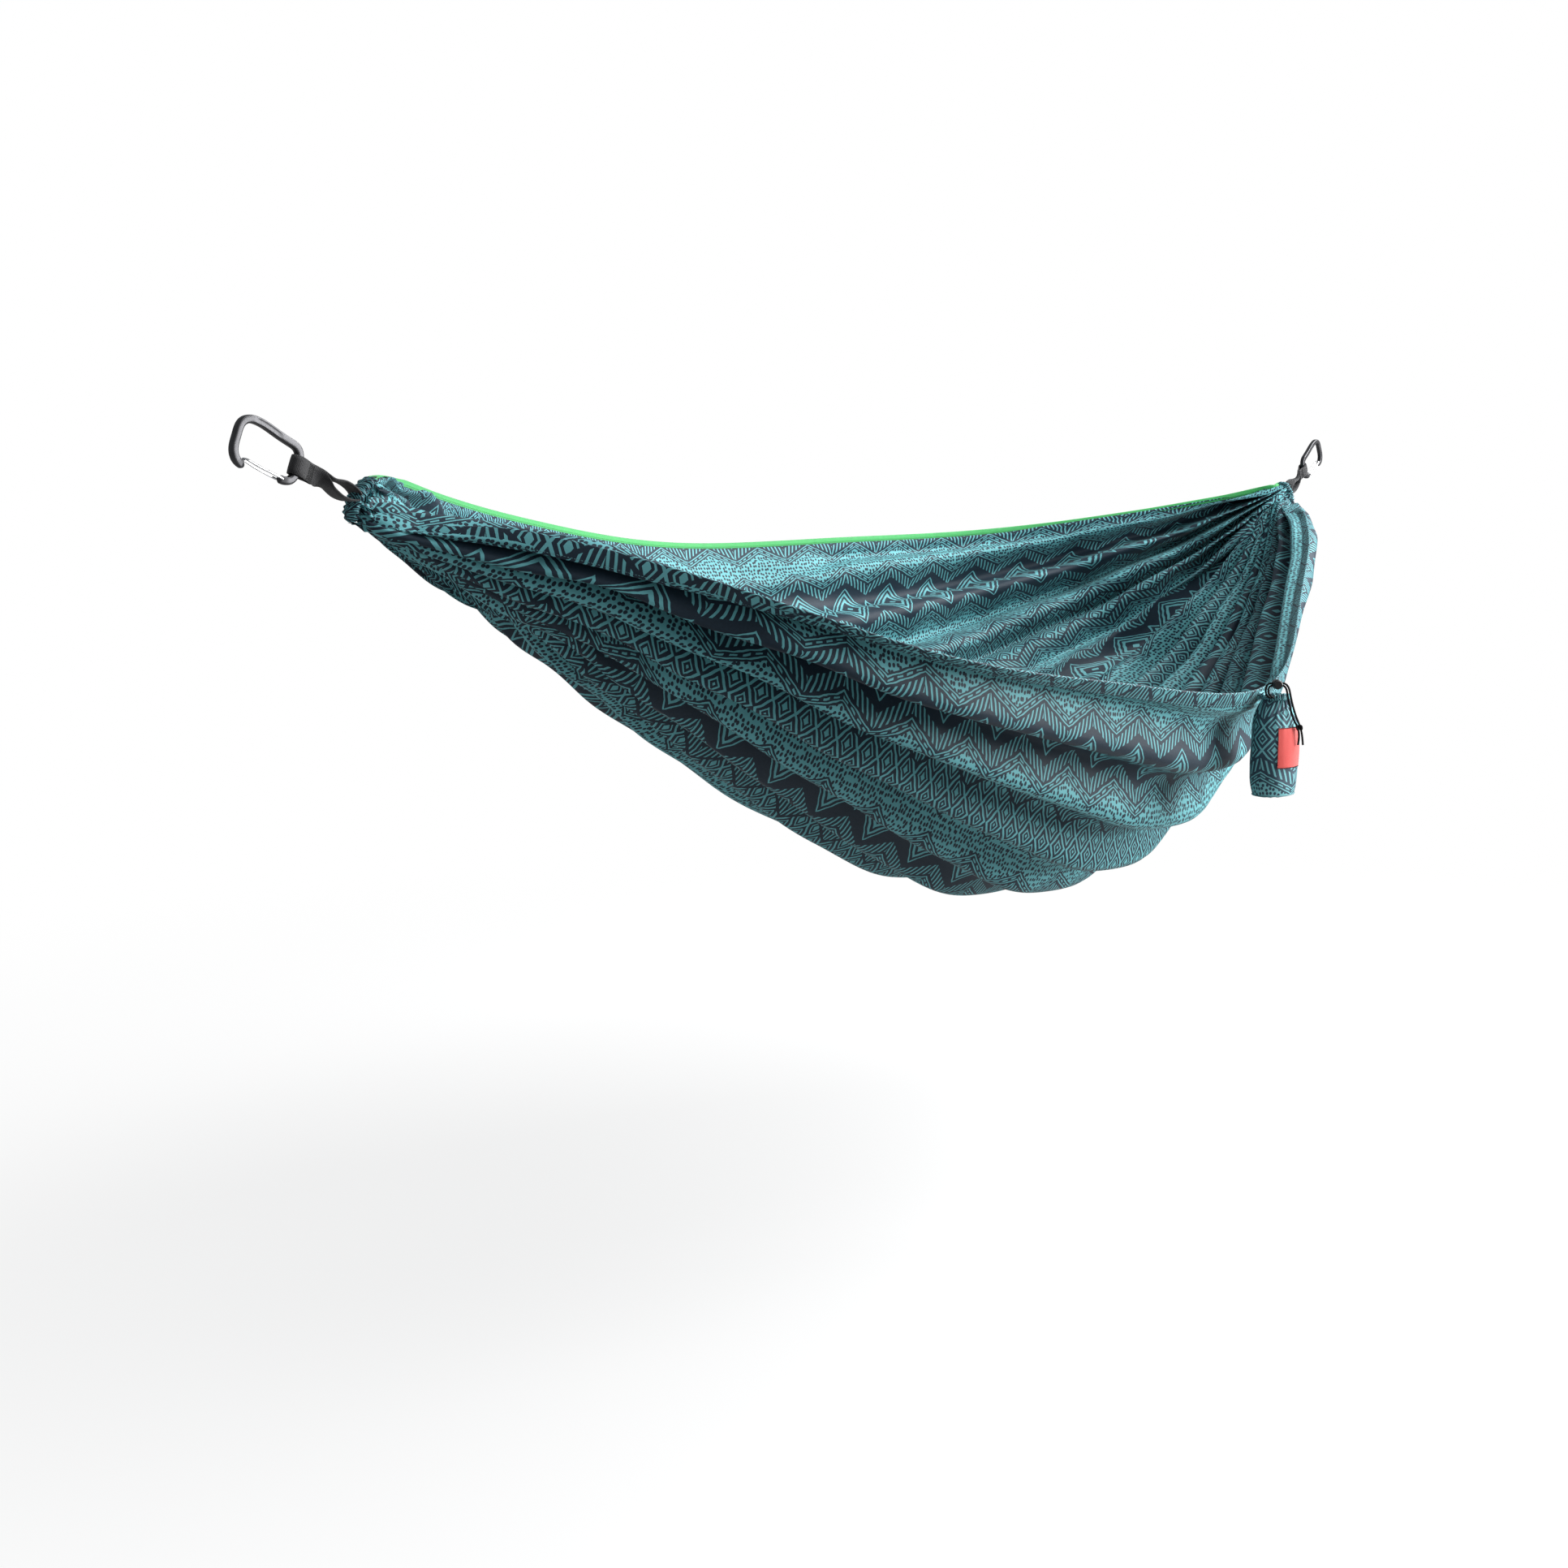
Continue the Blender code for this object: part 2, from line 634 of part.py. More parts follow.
def sack_base(finish):
    centre = mouth_centre()
    bottom = SACK_PROFILE[-1][0]
    half_x = SACK_PROFILE[-1][1]
    half_y = SACK_PROFILE[-1][2]
    rings = [
        ellipse_ring(centre, bottom - GAP, half_x, half_y),
        ellipse_ring(centre, bottom - GAP - 0.5 * BASE_THICK, half_x - BASE_INSETS[0], half_y - BASE_INSETS[0]),
        ellipse_ring(centre, bottom - GAP - BASE_THICK, half_x - BASE_INSETS[1], half_y - BASE_INSETS[1]),
    ]
    vertices, faces = loft(rings)
    return object_from("sack_base", vertices, faces, finish, origin=sack_hinge())


def turned(name, centre, profile, finish, origin, count=26):
    """Ring turned about a vertical line through the centre, from a closed (radius, height) profile."""
    rings = []
    for k in range(count):
        angle = 2.0 * math.pi * k / count
        spoke = Vector((math.cos(angle), math.sin(angle), 0.0))
        rings.append([centre + spoke * r + Vector((0.0, 0.0, z)) for r, z in profile])
    vertices, faces = loft(rings, closed_path=True)
    return object_from(name, vertices, faces, finish, origin=origin)


def sack_mouth_channel(finish):
    """Channel round the mouth, open on its outer side, where the drawcord runs."""
    h = MOUTH_HALF_HEIGHT
    groove = CORD_RADIUS + GAP
    profile = (
        (MOUTH_INNER, -h), (MOUTH_OUTER, -h), (MOUTH_OUTER, -groove), (CORD_RING - groove, -groove),
        (CORD_RING - groove, groove), (MOUTH_OUTER, groove), (MOUTH_OUTER, h), (MOUTH_INNER, h),
    )
    return turned("sack_mouth_channel", mouth_centre(), profile, finish, sack_hinge())


def mouth_point(across, outward, up):
    return mouth_centre() + ACROSS * across + OUTWARD * outward + Vector((0.0, 0.0, up))


def sack_drawcord(finish):
    """The part of the drawcord inside the channel, from one side of the exit round to the other."""
    points = []
    for k in range(31):
        angle = CORD_EXIT + CORD_EXIT_HALF + 2.0 * (math.pi - CORD_EXIT_HALF) * k / 30.0
        points.append(mouth_point(CORD_RING * math.sin(angle), CORD_RING * math.cos(angle), 0.0))
    return tube("sack_drawcord", points, CORD_RADIUS, finish, origin=sack_hinge())


def tail_points(route, count=32):
    """Even points along the smooth curve through a tail's route."""
    route = np.array(route)
    lengths = np.concatenate([[0.0], np.cumsum(np.linalg.norm(np.diff(route, axis=0), axis=1))])
    path = smooth_through(lengths, route, np.linspace(0.0, lengths[-1], count))
    return [mouth_point(*p) for p in path]


def drawcord_tail(name, route, finish):
    return tube(name, tail_points(route), CORD_RADIUS, finish, origin=sack_hinge())


def cord_cutters(name):
    """Fatter copies of the stretch of both tails that runs through the knot, for its two holes."""
    cutters = []
    reach = 2.0 * KNOT_RADII[2]
    for label, route in (("a", TAIL_A_ROUTE), ("b", TAIL_B_ROUTE)):
        middle = mouth_point(*KNOT_CENTRE)
        points = [p for p in tail_points(route) if (p - middle).length < reach]
        rings = []
        for i, point in enumerate(points):
            ahead = points[min(i + 1, len(points) - 1)] - points[max(i - 1, 0)]
            side = ahead.cross(OUTWARD).normalized()
            rise = side.cross(ahead).normalized()
            rings.append([
                point + (side * math.cos(a) + rise * math.sin(a)) * (CORD_RADIUS + KNOT_ROOM)
                for a in (2.0 * math.pi * k / 10 for k in range(10))
            ])
        vertices, faces = loft(rings)
        cutter = object_from(name + "_cutter_" + label, vertices, faces, bpy.data.materials[0], smooth=False)
        cutter.hide_render = True
        cutter.display_type = "WIRE"
        cutters.append(cutter)
    return cutters


def cut(target, cutters):
    for cutter in cutters:
        step = target.modifiers.new(cutter.name, "BOOLEAN")
        step.operation = "DIFFERENCE"
        step.solver = "EXACT"
        step.object = cutter


def drawcord_knot(finish):
    """Overhand knot in both tails, as one rounded lump with a hole for each."""
    count = 16
    rings = []
    centre = mouth_point(*KNOT_CENTRE)
    for i in range(1, 10):
        polar = math.pi * i / 10.0
        ring = []
        for k in range(count):
            angle = 2.0 * math.pi * k / count
            ring.append(
                centre
                + ACROSS * (KNOT_RADII[0] * math.sin(polar) * math.cos(angle))
                + OUTWARD * (KNOT_RADII[1] * math.sin(polar) * math.sin(angle))
                + Vector((0.0, 0.0, KNOT_RADII[2] * math.cos(polar)))
            )
        rings.append(ring)
    vertices, faces = loft(rings)
    made = object_from("drawcord_knot", vertices, faces, finish, origin=sack_hinge())
    cut(made, cord_cutters("knot"))
    return made


def sack_label(finish):
    """Square patch that follows the sack's wall on the side away from the hammock."""
    centre = mouth_centre()
    columns = 9
    levels = 5
    layers = []
    for offset in (LABEL_LIFT, LABEL_LIFT + LABEL_THICK):
        layer = []
        for i in range(levels):
            z = LABEL_TOP + (LABEL_BOTTOM - LABEL_TOP) * i / (levels - 1)
            half_x, half_y = sack_radii(z)
            for k in range(columns):
                angle = LABEL_CENTRE + LABEL_HALF_ARC * (2.0 * k / (columns - 1) - 1.0)
                layer.append(centre + Vector((
                    (half_x + offset) * math.cos(angle), (half_y + offset) * math.sin(angle), z
                )))
        layers.append(np.array(layer).reshape(levels, columns, 3))
    vertices, faces = between_layers(*layers)
    return object_from("sack_label", vertices, faces, finish, origin=sack_hinge())


def sack_hang_tab(finish):
    """Folded tab between the near hem's outer face and the back of the mouth."""
    shares = [sack_share() + TAB_HALF_WIDTH * k / CLOTH_SPAN for k in (-1.0, 0.0, 1.0)]
    grid = cloth_grid(shares, lambda total: np.array(TAB_ARCS))
    normal = surface_normals(grid)
    face = grid - normal * (0.5 * HEM_THICK + GAP)
    centre = mouth_centre()
    front_y = centre.y + MOUTH_OUTER + GAP
    top = centre.z + TAB_HALF_TALL
    bottom = centre.z - TAB_HALF_TALL
    rings = []
    for row, x in zip(face, face[:, 1, 0]):
        rings.append([
            Vector((x, row[0, 1], row[0, 2])),
            Vector((x, row[2, 1], row[2, 2])),
            Vector((x, front_y, bottom)),
            Vector((x, front_y, top)),
        ])
    vertices, faces = loft(rings)
    return object_from("sack_hang_tab", vertices, faces, finish)


# ---- cord lock


def lock_point(across, outward, up):
    """A point in the lock's own directions, from the middle of its cord slot."""
    return mouth_point(LOCK_CENTRE[0] + across, LOCK_CENTRE[1] + outward, LOCK_CENTRE[2] + up)


def lock_ring(outward, radius, count=24):
    ring = []
    for k in range(count):
        angle = 2.0 * math.pi * k / count
        ring.append(lock_point(radius * math.cos(angle), outward, radius * math.sin(angle)))
    return ring


def slot_cutter(name, back, front):
    """Block that cuts the cord slot right across the lock."""
    rings = []
    for across in (-0.012, 0.012):
        rings.append([
            lock_point(across, back, -SLOT_HALF_TALL), lock_point(across, front, -SLOT_HALF_TALL),
            lock_point(across, front, SLOT_HALF_TALL), lock_point(across, back, SLOT_HALF_TALL),
        ])
    vertices, faces = loft(rings)
    cutter = object_from(name, vertices, faces, bpy.data.materials[0], smooth=False)
    cutter.hide_render = True
    cutter.display_type = "WIRE"
    return cutter


def cord_lock_barrel(finish):
    rings = [
        lock_ring(-BARREL_BACK, BARREL_RADIUS - BARREL_BEVEL),
        lock_ring(-BARREL_BACK + BARREL_BEVEL, BARREL_RADIUS),
        lock_ring(BARREL_FRONT - BARREL_BEVEL, BARREL_RADIUS),
        lock_ring(BARREL_FRONT, BARREL_RADIUS - BARREL_BEVEL),
        lock_ring(BARREL_FRONT, BARREL_BORE),
        lock_ring(-BARREL_BACK + BARREL_FLOOR, BARREL_BORE),
    ]
    vertices, faces = loft(rings)
    made = object_from("cord_lock_barrel", vertices, faces, finish, origin=lock_point(0.0, 0.0, 0.0))
    cut(made, [slot_cutter("barrel_slot", -SLOT_HALF_DEEP, SLOT_HALF_DEEP)])
    return made


def cord_lock_plunger(finish):
    """Button and stem; its slot is longer than the barrel's by the stroke, so it pinches the cords at rest."""
    neck = BARREL_FRONT + PLUNGER_STROKE + GAP
    rings = [
        lock_ring(-PLUNGER_BACK - PLUNGER_BEVEL, PLUNGER_RADIUS - PLUNGER_BEVEL),
        lock_ring(-PLUNGER_BACK, PLUNGER_RADIUS),
        lock_ring(neck, PLUNGER_RADIUS),
        lock_ring(neck, BUTTON_RADIUS),
        lock_ring(neck + BUTTON_THICK - BUTTON_BEVEL, BUTTON_RADIUS),
        lock_ring(neck + BUTTON_THICK, BUTTON_RADIUS - BUTTON_BEVEL),
    ]
    vertices, faces = loft(rings)
    made = object_from("cord_lock_plunger", vertices, faces, finish, origin=lock_point(0.0, 0.0, 0.0))
    cut(made, [slot_cutter("plunger_slot", -SLOT_HALF_DEEP, SLOT_HALF_DEEP + PLUNGER_STROKE)])
    return made


def cord_lock_spring(finish):
    """Coil behind the stem, between the barrel's floor and the end of the plunger."""
    back = -BARREL_BACK + BARREL_FLOOR + GAP + SPRING_WIRE
    front = -PLUNGER_BACK - PLUNGER_BEVEL - GAP - SPRING_WIRE
    steps = SPRING_TURNS * SPRING_STEPS
    points = []
    for k in range(steps + 1):
        angle = 2.0 * math.pi * k / SPRING_STEPS
        outward = back + (front - back) * k / steps
        points.append(lock_point(SPRING_RADIUS * math.cos(angle), outward, SPRING_RADIUS * math.sin(angle)))
    return tube("cord_lock_spring", points, SPRING_WIRE, finish, origin=lock_point(0.0, 0.0, 0.0), resolution=1)


# ---- the whole hammock


def build():
    clear_scene()
    anodised = material("anodised_grey", (0.062, 0.062, 0.066), 0.42, 0.9)
    wire = material("steel_wire", (0.62, 0.62, 0.63), 0.25, 1.0)
    webbing = material("black_webbing", (0.030, 0.031, 0.034), 0.85)
    print_cloth = material("printed_cloth", (0.24, 0.40, 0.45), 0.62)
    tape = material("green_binding", (0.16, 0.46, 0.24), 0.6)
    red = material("red_label", (0.72, 0.10, 0.10), 0.7)
    cord = material("black_cord", (0.015, 0.015, 0.016), 0.8)
    plastic = material("black_plastic", (0.018, 0.018, 0.020), 0.4)

    left = left_line()
    right = right_line()
    for side, line in (("left", left), ("right", right)):
        carabiner_body(side + "_carabiner_body", line, anodised)
        carabiner_gate(side + "_carabiner_gate", line, wire)
        webbing_loop(side + "_webbing_loop", line, webbing)
        end_channel(side + "_end_channel", line, print_cloth)
    cloth_pieces(print_cloth, tape)
    sack_hang_tab(webbing)
    sack_body(print_cloth)
    sack_base(print_cloth)
    sack_mouth_channel(print_cloth)
    sack_drawcord(cord)
    drawcord_tail("drawcord_tail_a", TAIL_A_ROUTE, cord)
    drawcord_tail("drawcord_tail_b", TAIL_B_ROUTE, cord)
    drawcord_knot(cord)
    sack_label(red)
    cord_lock_barrel(plastic)
    cord_lock_plunger(plastic)
    cord_lock_spring(wire)


build()
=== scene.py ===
"""Camping hammock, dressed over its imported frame: printed cloth relaxed into its folds, sewn hems and webbing,
anodised carabiners, and the stuff sack with its drawcord and cord lock."""

import math

import bmesh
import bpy
import numpy as np
from mathutils import Matrix, Vector


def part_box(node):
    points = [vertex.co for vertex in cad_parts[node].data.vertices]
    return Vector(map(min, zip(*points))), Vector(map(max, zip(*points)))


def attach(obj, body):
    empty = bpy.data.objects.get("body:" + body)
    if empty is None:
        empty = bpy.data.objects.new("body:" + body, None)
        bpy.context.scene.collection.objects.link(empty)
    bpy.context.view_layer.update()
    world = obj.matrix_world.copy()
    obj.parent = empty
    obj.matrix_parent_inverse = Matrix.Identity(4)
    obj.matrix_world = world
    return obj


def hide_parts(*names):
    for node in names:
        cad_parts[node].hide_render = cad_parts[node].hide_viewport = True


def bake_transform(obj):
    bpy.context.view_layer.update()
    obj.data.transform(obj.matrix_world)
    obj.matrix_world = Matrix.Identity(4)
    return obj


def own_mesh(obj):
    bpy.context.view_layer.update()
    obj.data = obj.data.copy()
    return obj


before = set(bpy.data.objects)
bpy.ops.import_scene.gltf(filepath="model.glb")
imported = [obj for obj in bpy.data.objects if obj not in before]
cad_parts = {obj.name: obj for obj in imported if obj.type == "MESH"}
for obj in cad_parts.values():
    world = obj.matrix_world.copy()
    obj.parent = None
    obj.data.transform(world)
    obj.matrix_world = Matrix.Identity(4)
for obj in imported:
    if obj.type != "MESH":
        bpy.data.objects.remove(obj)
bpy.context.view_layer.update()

GAP = 0.0003

# ---- dimensions as in the CAD source

LEFT_TILT = math.radians(22.0)
RIGHT_TILT = math.radians(30.0)
CLIP_FROM_HANG = 0.081
CLOTH_FROM_CLIP = 0.0935
CLOTH_SPAN = 2.45
RIGHT_CLIP_RISE = 0.0138

ROD_IN_PLANE = 0.0045
ROD_HALF_THICK = 0.0042

WEB_WIDTH = 0.0205
WRAP_ROOM = 0.0040
WRAP_SIDE_ROOM = 0.0023
TWIST_START = 0.018
TWIST_END = 0.050

STATIONS = (0.00, 0.08, 0.20, 0.35, 0.50, 0.65, 0.80, 0.92, 1.00)
NEAR_OUT = (0.013, 0.186, 0.394, 0.473, 0.492, 0.396, 0.252, 0.130, 0.013)
NEAR_Z = (-0.070, -0.123, -0.236, -0.303, -0.342, -0.306, -0.219, -0.125, -0.066)
FAR_OUT = (0.013, 0.178, 0.372, 0.495, 0.535, 0.467, 0.373, 0.177, 0.013)
FAR_Z = (-0.052, -0.042, -0.067, -0.114, -0.148, -0.144, -0.133, -0.093, -0.050)
BELLY = (0.026, 0.077, 0.163, 0.309, 0.417, 0.366, 0.285, 0.169, 0.024)
SKEW = (0.000, 0.024, 0.040, 0.020, -0.005, 0.011, 0.016, 0.006, 0.000)
SECTION_LINEAR = 0.486
SECTION_POWER = 1.051
TILT_FADE = 0.06

SACK_X = 1.448
SACK_Z = -0.352
MOUTH_OUTER = 0.0210
SACK_PROFILE = (
    (-0.0034, 0.0185, 0.0185),
    (-0.0100, 0.0250, 0.0215),
    (-0.0200, 0.0345, 0.0255),
    (-0.0350, 0.0415, 0.0290),
    (-0.0600, 0.0450, 0.0310),
    (-0.1050, 0.0460, 0.0310),
    (-0.1300, 0.0440, 0.0290),
    (-0.1420, 0.0405, 0.0265),
)
LABEL_CENTRE = math.radians(-106.0)
LABEL_HALF_ARC = math.radians(33.0)
LABEL_TOP = -0.042
LABEL_BOTTOM = -0.100

ACROSS = Vector((0.597, -0.802, 0.0)).normalized()
OUTWARD = Vector((ACROSS.y, -ACROSS.x, 0.0))
CORD_RADIUS = 0.0015
TAIL_A_ROUTE = (
    (-0.0093, 0.0160, 0.0000), (-0.0108, 0.0180, 0.0000), (-0.0125, 0.0194, 0.0003),
    (-0.0165, 0.0220, 0.0020), (-0.0195, 0.0235, 0.0063), (-0.0206, 0.0240, 0.0112),
    (-0.0199, 0.0241, 0.0162), (-0.0174, 0.0240, 0.0200), (-0.0130, 0.0240, 0.0216),
    (-0.0060, 0.0240, 0.0217), (0.0000, 0.0240, 0.0217), (0.0045, 0.0240, 0.0216),
    (0.0087, 0.0240, 0.0199), (0.0118, 0.0241, 0.0163), (0.0137, 0.0243, 0.0115),
    (0.0150, 0.0247, 0.0055), (0.0165, 0.0251, -0.0015), (0.0184, 0.0254, -0.0090),
    (0.0208, 0.0254, -0.0170), (0.0237, 0.0249, -0.0250), (0.0272, 0.0238, -0.0330),
    (0.0310, 0.0225, -0.0415), (0.0336, 0.0216, -0.0500), (0.0352, 0.0211, -0.0590),
    (0.0362, 0.0208, -0.0680),
)
TAIL_B_ROUTE = (
    (-0.0063, 0.0174, 0.0000), (-0.0071, 0.0195, 0.0000), (-0.0083, 0.0214, 0.0003),
    (-0.0119, 0.0231, 0.0024), (-0.0153, 0.0239, 0.0060), (-0.0167, 0.0241, 0.0103),
    (-0.0161, 0.0241, 0.0146), (-0.0137, 0.0240, 0.0175), (-0.0098, 0.0240, 0.0183),
    (-0.0045, 0.0240, 0.0183), (0.0000, 0.0240, 0.0183), (0.0040, 0.0240, 0.0182),
    (0.0068, 0.0240, 0.0168), (0.0088, 0.0241, 0.0139), (0.0101, 0.0243, 0.0097),
    (0.0112, 0.0247, 0.0040), (0.0126, 0.0251, -0.0030), (0.0144, 0.0254, -0.0105),
    (0.0167, 0.0254, -0.0190), (0.0196, 0.0249, -0.0275), (0.0234, 0.0238, -0.0355),
    (0.0278, 0.0225, -0.0435), (0.0298, 0.0217, -0.0525), (0.0298, 0.0213, -0.0610),
    (0.0290, 0.0210, -0.0680),
)
KNOT_CENTRE = (0.0294, 0.0225, -0.0425)
LOCK_CENTRE = (-0.0045, 0.0240, 0.0200)
SPRING_RADIUS = 0.0034
SPRING_WIRE = 0.00022
SPRING_TURNS = 2

# ---- dimensions for looks: the CAD's strap is thinner, its eye larger, and its spring isn't flattened

WEB_THICK = 0.0026
PINCH = 0.0021
EYE_START = 0.066
EYE_LENGTH = 0.0220
EYE_HALF = 0.0085
BUNDLE_AT = 0.0880
BUNDLE_SWEEP = 0.0100
BUNDLE_LEAN = 0.0060
BUNDLE_HALF = 0.0275
BUNDLE_DEEP = 0.0066
BUNDLE_WIDE = 0.0120
BUNDLE_PLEATS = 9
SPRING_BACK = -0.00508
SPRING_FRONT = -0.00352

SACK_TOP = SACK_PROFILE[0][0]
SACK_BOTTOM = SACK_PROFILE[-1][0]
SACK_AROUND = 152
SACK_LEVELS = 64
SACK_GIRTH = 0.235
RUFFLES = 17
RUFFLE_RADIUS = 0.0181
LABEL_WIDE = 0.055
LABEL_TALL = 0.058
SEAM_LIFT = 0.0012

STRAP_OUTLINE = (
    # across the thickness and the width, in halves of each
    (-1, 1), (-1, 0.5), (-1, 0), (-1, -0.5), (-1, -1), (0, -1.04),
    (1, -1), (1, -0.5), (1, 0), (1, 0.5), (1, 1), (0, 1.04),
)

# ---- camera and studio, in metres and watts

CAMERA_AT = (-1.4912, -1.8158, -0.0528)
CAMERA_YAW = math.radians(36.742)
CAMERA_PITCH = 0.1352
LAMPS = (
    # name, place, aim, size, power
    ("key", (4.6, -1.9, 2.6), (1.3, 0.0, -0.3), 2.6, 330.0),
    ("side", (3.9, -3.6, 0.2), (2.2, -0.3, -0.4), 2.0, 230.0),
    ("overhead", (1.7, -2.4, 3.0), (2.6, 0.2, -0.3), 1.6, 45.0),
)
FLOOR_Z = -1.15
FLOOR_HALF = 40.0
SHADOW_X = 1.4
SHADOW_REACH = (0.8, 3.2)
SHADOW_SHARE = 0.22

# ---- the cut of the cloth and how finely it is relaxed

FLAT_WIDTH = 1.42
FLAT_LENGTH = 2.75
HEM_WIDTH = 0.020
HEM_NARROW = 0.006
TAPE_WIDTH = 0.0070
PLEATS = 22
END_BLEND = 0.16
LEVELS = ((119, 121, 90), (237, 241, 90))


def smooth_through(stations, values, at):
    """Natural cubic spline through values at stations, read at the places asked for."""
    t = np.array(stations, float)
    v = np.array(values, float)
    count = len(t)
    h = np.diff(t)
    system = np.eye(count)
    right = np.zeros((count,) + v.shape[1:])
    for i in range(1, count - 1):
        system[i, i - 1] = h[i - 1]
        system[i, i] = 2.0 * (h[i - 1] + h[i])
        system[i, i + 1] = h[i]
        right[i] = 6.0 * ((v[i + 1] - v[i]) / h[i] - (v[i] - v[i - 1]) / h[i - 1])
    bend = np.linalg.solve(system, right)
    at = np.asarray(at, float)
    k = np.clip(np.searchsorted(t, at, side="right") - 1, 0, count - 2)
    shape = at.shape + (1,) * (v.ndim - 1)
    a = ((t[k + 1] - at) / h[k]).reshape(shape)
    b = ((at - t[k]) / h[k]).reshape(shape)
    step = h[k].reshape(shape)
    return a * v[k] + b * v[k + 1] + ((a**3 - a) * bend[k] + (b**3 - b) * bend[k + 1]) * step**2 / 6.0


def smoothstep(value):
    t = min(max(value, 0.0), 1.0)
    return t * t * (3.0 - 2.0 * t)


def squarer(value, power):
    """A sine or cosine, pushed out towards a square corner by a power below 1."""
    return math.copysign(abs(value) ** power, value)


def radial(turn):
    return Vector((math.cos(turn), math.sin(turn), 0.0))


def run_lengths(points):
    """Distance along a polyline at each of its points."""
    return np.concatenate([[0.0], np.cumsum(np.linalg.norm(np.diff(points, axis=0), axis=1))])


def read_at(at, run, values):
    """Every column of values, read at places along a run."""
    return np.stack([np.interp(at, run, values[:, k]) for k in range(values.shape[1])], axis=-1)


class Line:
    """One end's suspension line: u runs from the anchor to the cloth, w stands across it, v is world Y."""

    def __init__(self, hang, tilt, sign):
        self.u = Vector((sign * math.cos(tilt), 0.0, -math.sin(tilt)))
        self.w = Vector((sign * math.sin(tilt), 0.0, math.cos(tilt)))
        self.v = Vector((0.0, 1.0, 0.0))
        self.hang = Vector(hang)

    def at(self, u, w, v):
        return self.hang + self.u * u + self.w * w + self.v * v


LEFT = Line((0.0, 0.0, 0.0), LEFT_TILT, 1.0)
CLOTH_START = LEFT.at(CLIP_FROM_HANG + CLOTH_FROM_CLIP, 0.0, 0.0)


def right_line():
    left_clip = LEFT.at(CLIP_FROM_HANG, 0.0, 0.0)
    clip_x = CLOTH_START.x + CLOTH_SPAN + CLOTH_FROM_CLIP * math.cos(RIGHT_TILT)
    clip_z = left_clip.z + RIGHT_CLIP_RISE
    hang_x = clip_x + CLIP_FROM_HANG * math.cos(RIGHT_TILT)
    hang_z = clip_z + CLIP_FROM_HANG * math.sin(RIGHT_TILT)
    return Line((hang_x, 0.0, hang_z), RIGHT_TILT, -1.0)


RIGHT = right_line()


# ---- meshes


def mesh_piece(name, vertices, faces, finish, body=None, uv=None, sharp=None):
    """A piece from numpy vertices and quads, with UVs in metres when they are given per vertex."""
    mesh = bpy.data.meshes.new(name)
    mesh.from_pydata([tuple(v) for v in vertices], [], [tuple(f) for f in faces])
    mesh.materials.append(finish)
    if uv is not None:
        layer = mesh.uv_layers.new(name="metres")
        corner = np.empty(len(mesh.loops), np.int32)
        mesh.loops.foreach_get("vertex_index", corner)
        layer.data.foreach_set("uv", np.asarray(uv, np.float32)[corner].ravel())
    mesh.shade_smooth()
    if sharp is not None:
        mesh.set_sharp_from_angle(angle=math.radians(sharp))
    made = bpy.data.objects.new(name, mesh)
    bpy.context.scene.collection.objects.link(made)
    if body:
        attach(made, body)
    return made


def outward(vertices, faces):
    """The same faces, turned to point out of a closed mesh."""
    mesh = bpy.data.meshes.new("turning")
    mesh.from_pydata([tuple(v) for v in vertices], [], [tuple(f) for f in faces])
    work = bmesh.new()
    work.from_mesh(mesh)
    bmesh.ops.recalc_face_normals(work, faces=work.faces)
    work.to_mesh(mesh)
    work.free()
    turned = [tuple(p.vertices) for p in mesh.polygons]
    bpy.data.meshes.remove(mesh)
    return turned


def grid_faces(rows, columns, wrap_rows=False, wrap_columns=False):
    faces = []
    for i in range(rows if wrap_rows else rows - 1):
        for k in range(columns if wrap_columns else columns - 1):
            n = (k + 1) % columns
            m = (i + 1) % rows
            faces.append((i * columns + k, i * columns + n, m * columns + n, m * columns + k))
    return faces


def tube_mesh(rings, caps=True):
    """Vertices and outward faces of a closed skin over equal rings of points."""
    rings = np.asarray(rings, float)
    rows, size = rings.shape[:2]
    faces = grid_faces(rows, size, wrap_columns=True)
    if caps:
        faces.append(tuple(range(size)))
        faces.append(tuple(range((rows - 1) * size, rows * size)))
    vertices = rings.reshape(-1, 3)
    return vertices, outward(vertices, faces)


def curve_piece(name, points, radius, finish, body, resolution=4, closed=False):
    curve = bpy.data.curves.new(name, "CURVE")
    curve.dimensions = "3D"
    curve.bevel_depth = radius
    curve.bevel_resolution = resolution
    curve.use_fill_caps = True
    curve.twist_mode = "MINIMUM"
    spline = curve.splines.new("POLY")
    spline.points.add(len(points) - 1)
    spline.use_cyclic_u = closed
    for slot, point in zip(spline.points, points):
        slot.co = (*point, 1.0)
    curve.materials.append(finish)
    made = bpy.data.objects.new(name, curve)
    bpy.context.scene.collection.objects.link(made)
    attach(made, body)
    return made


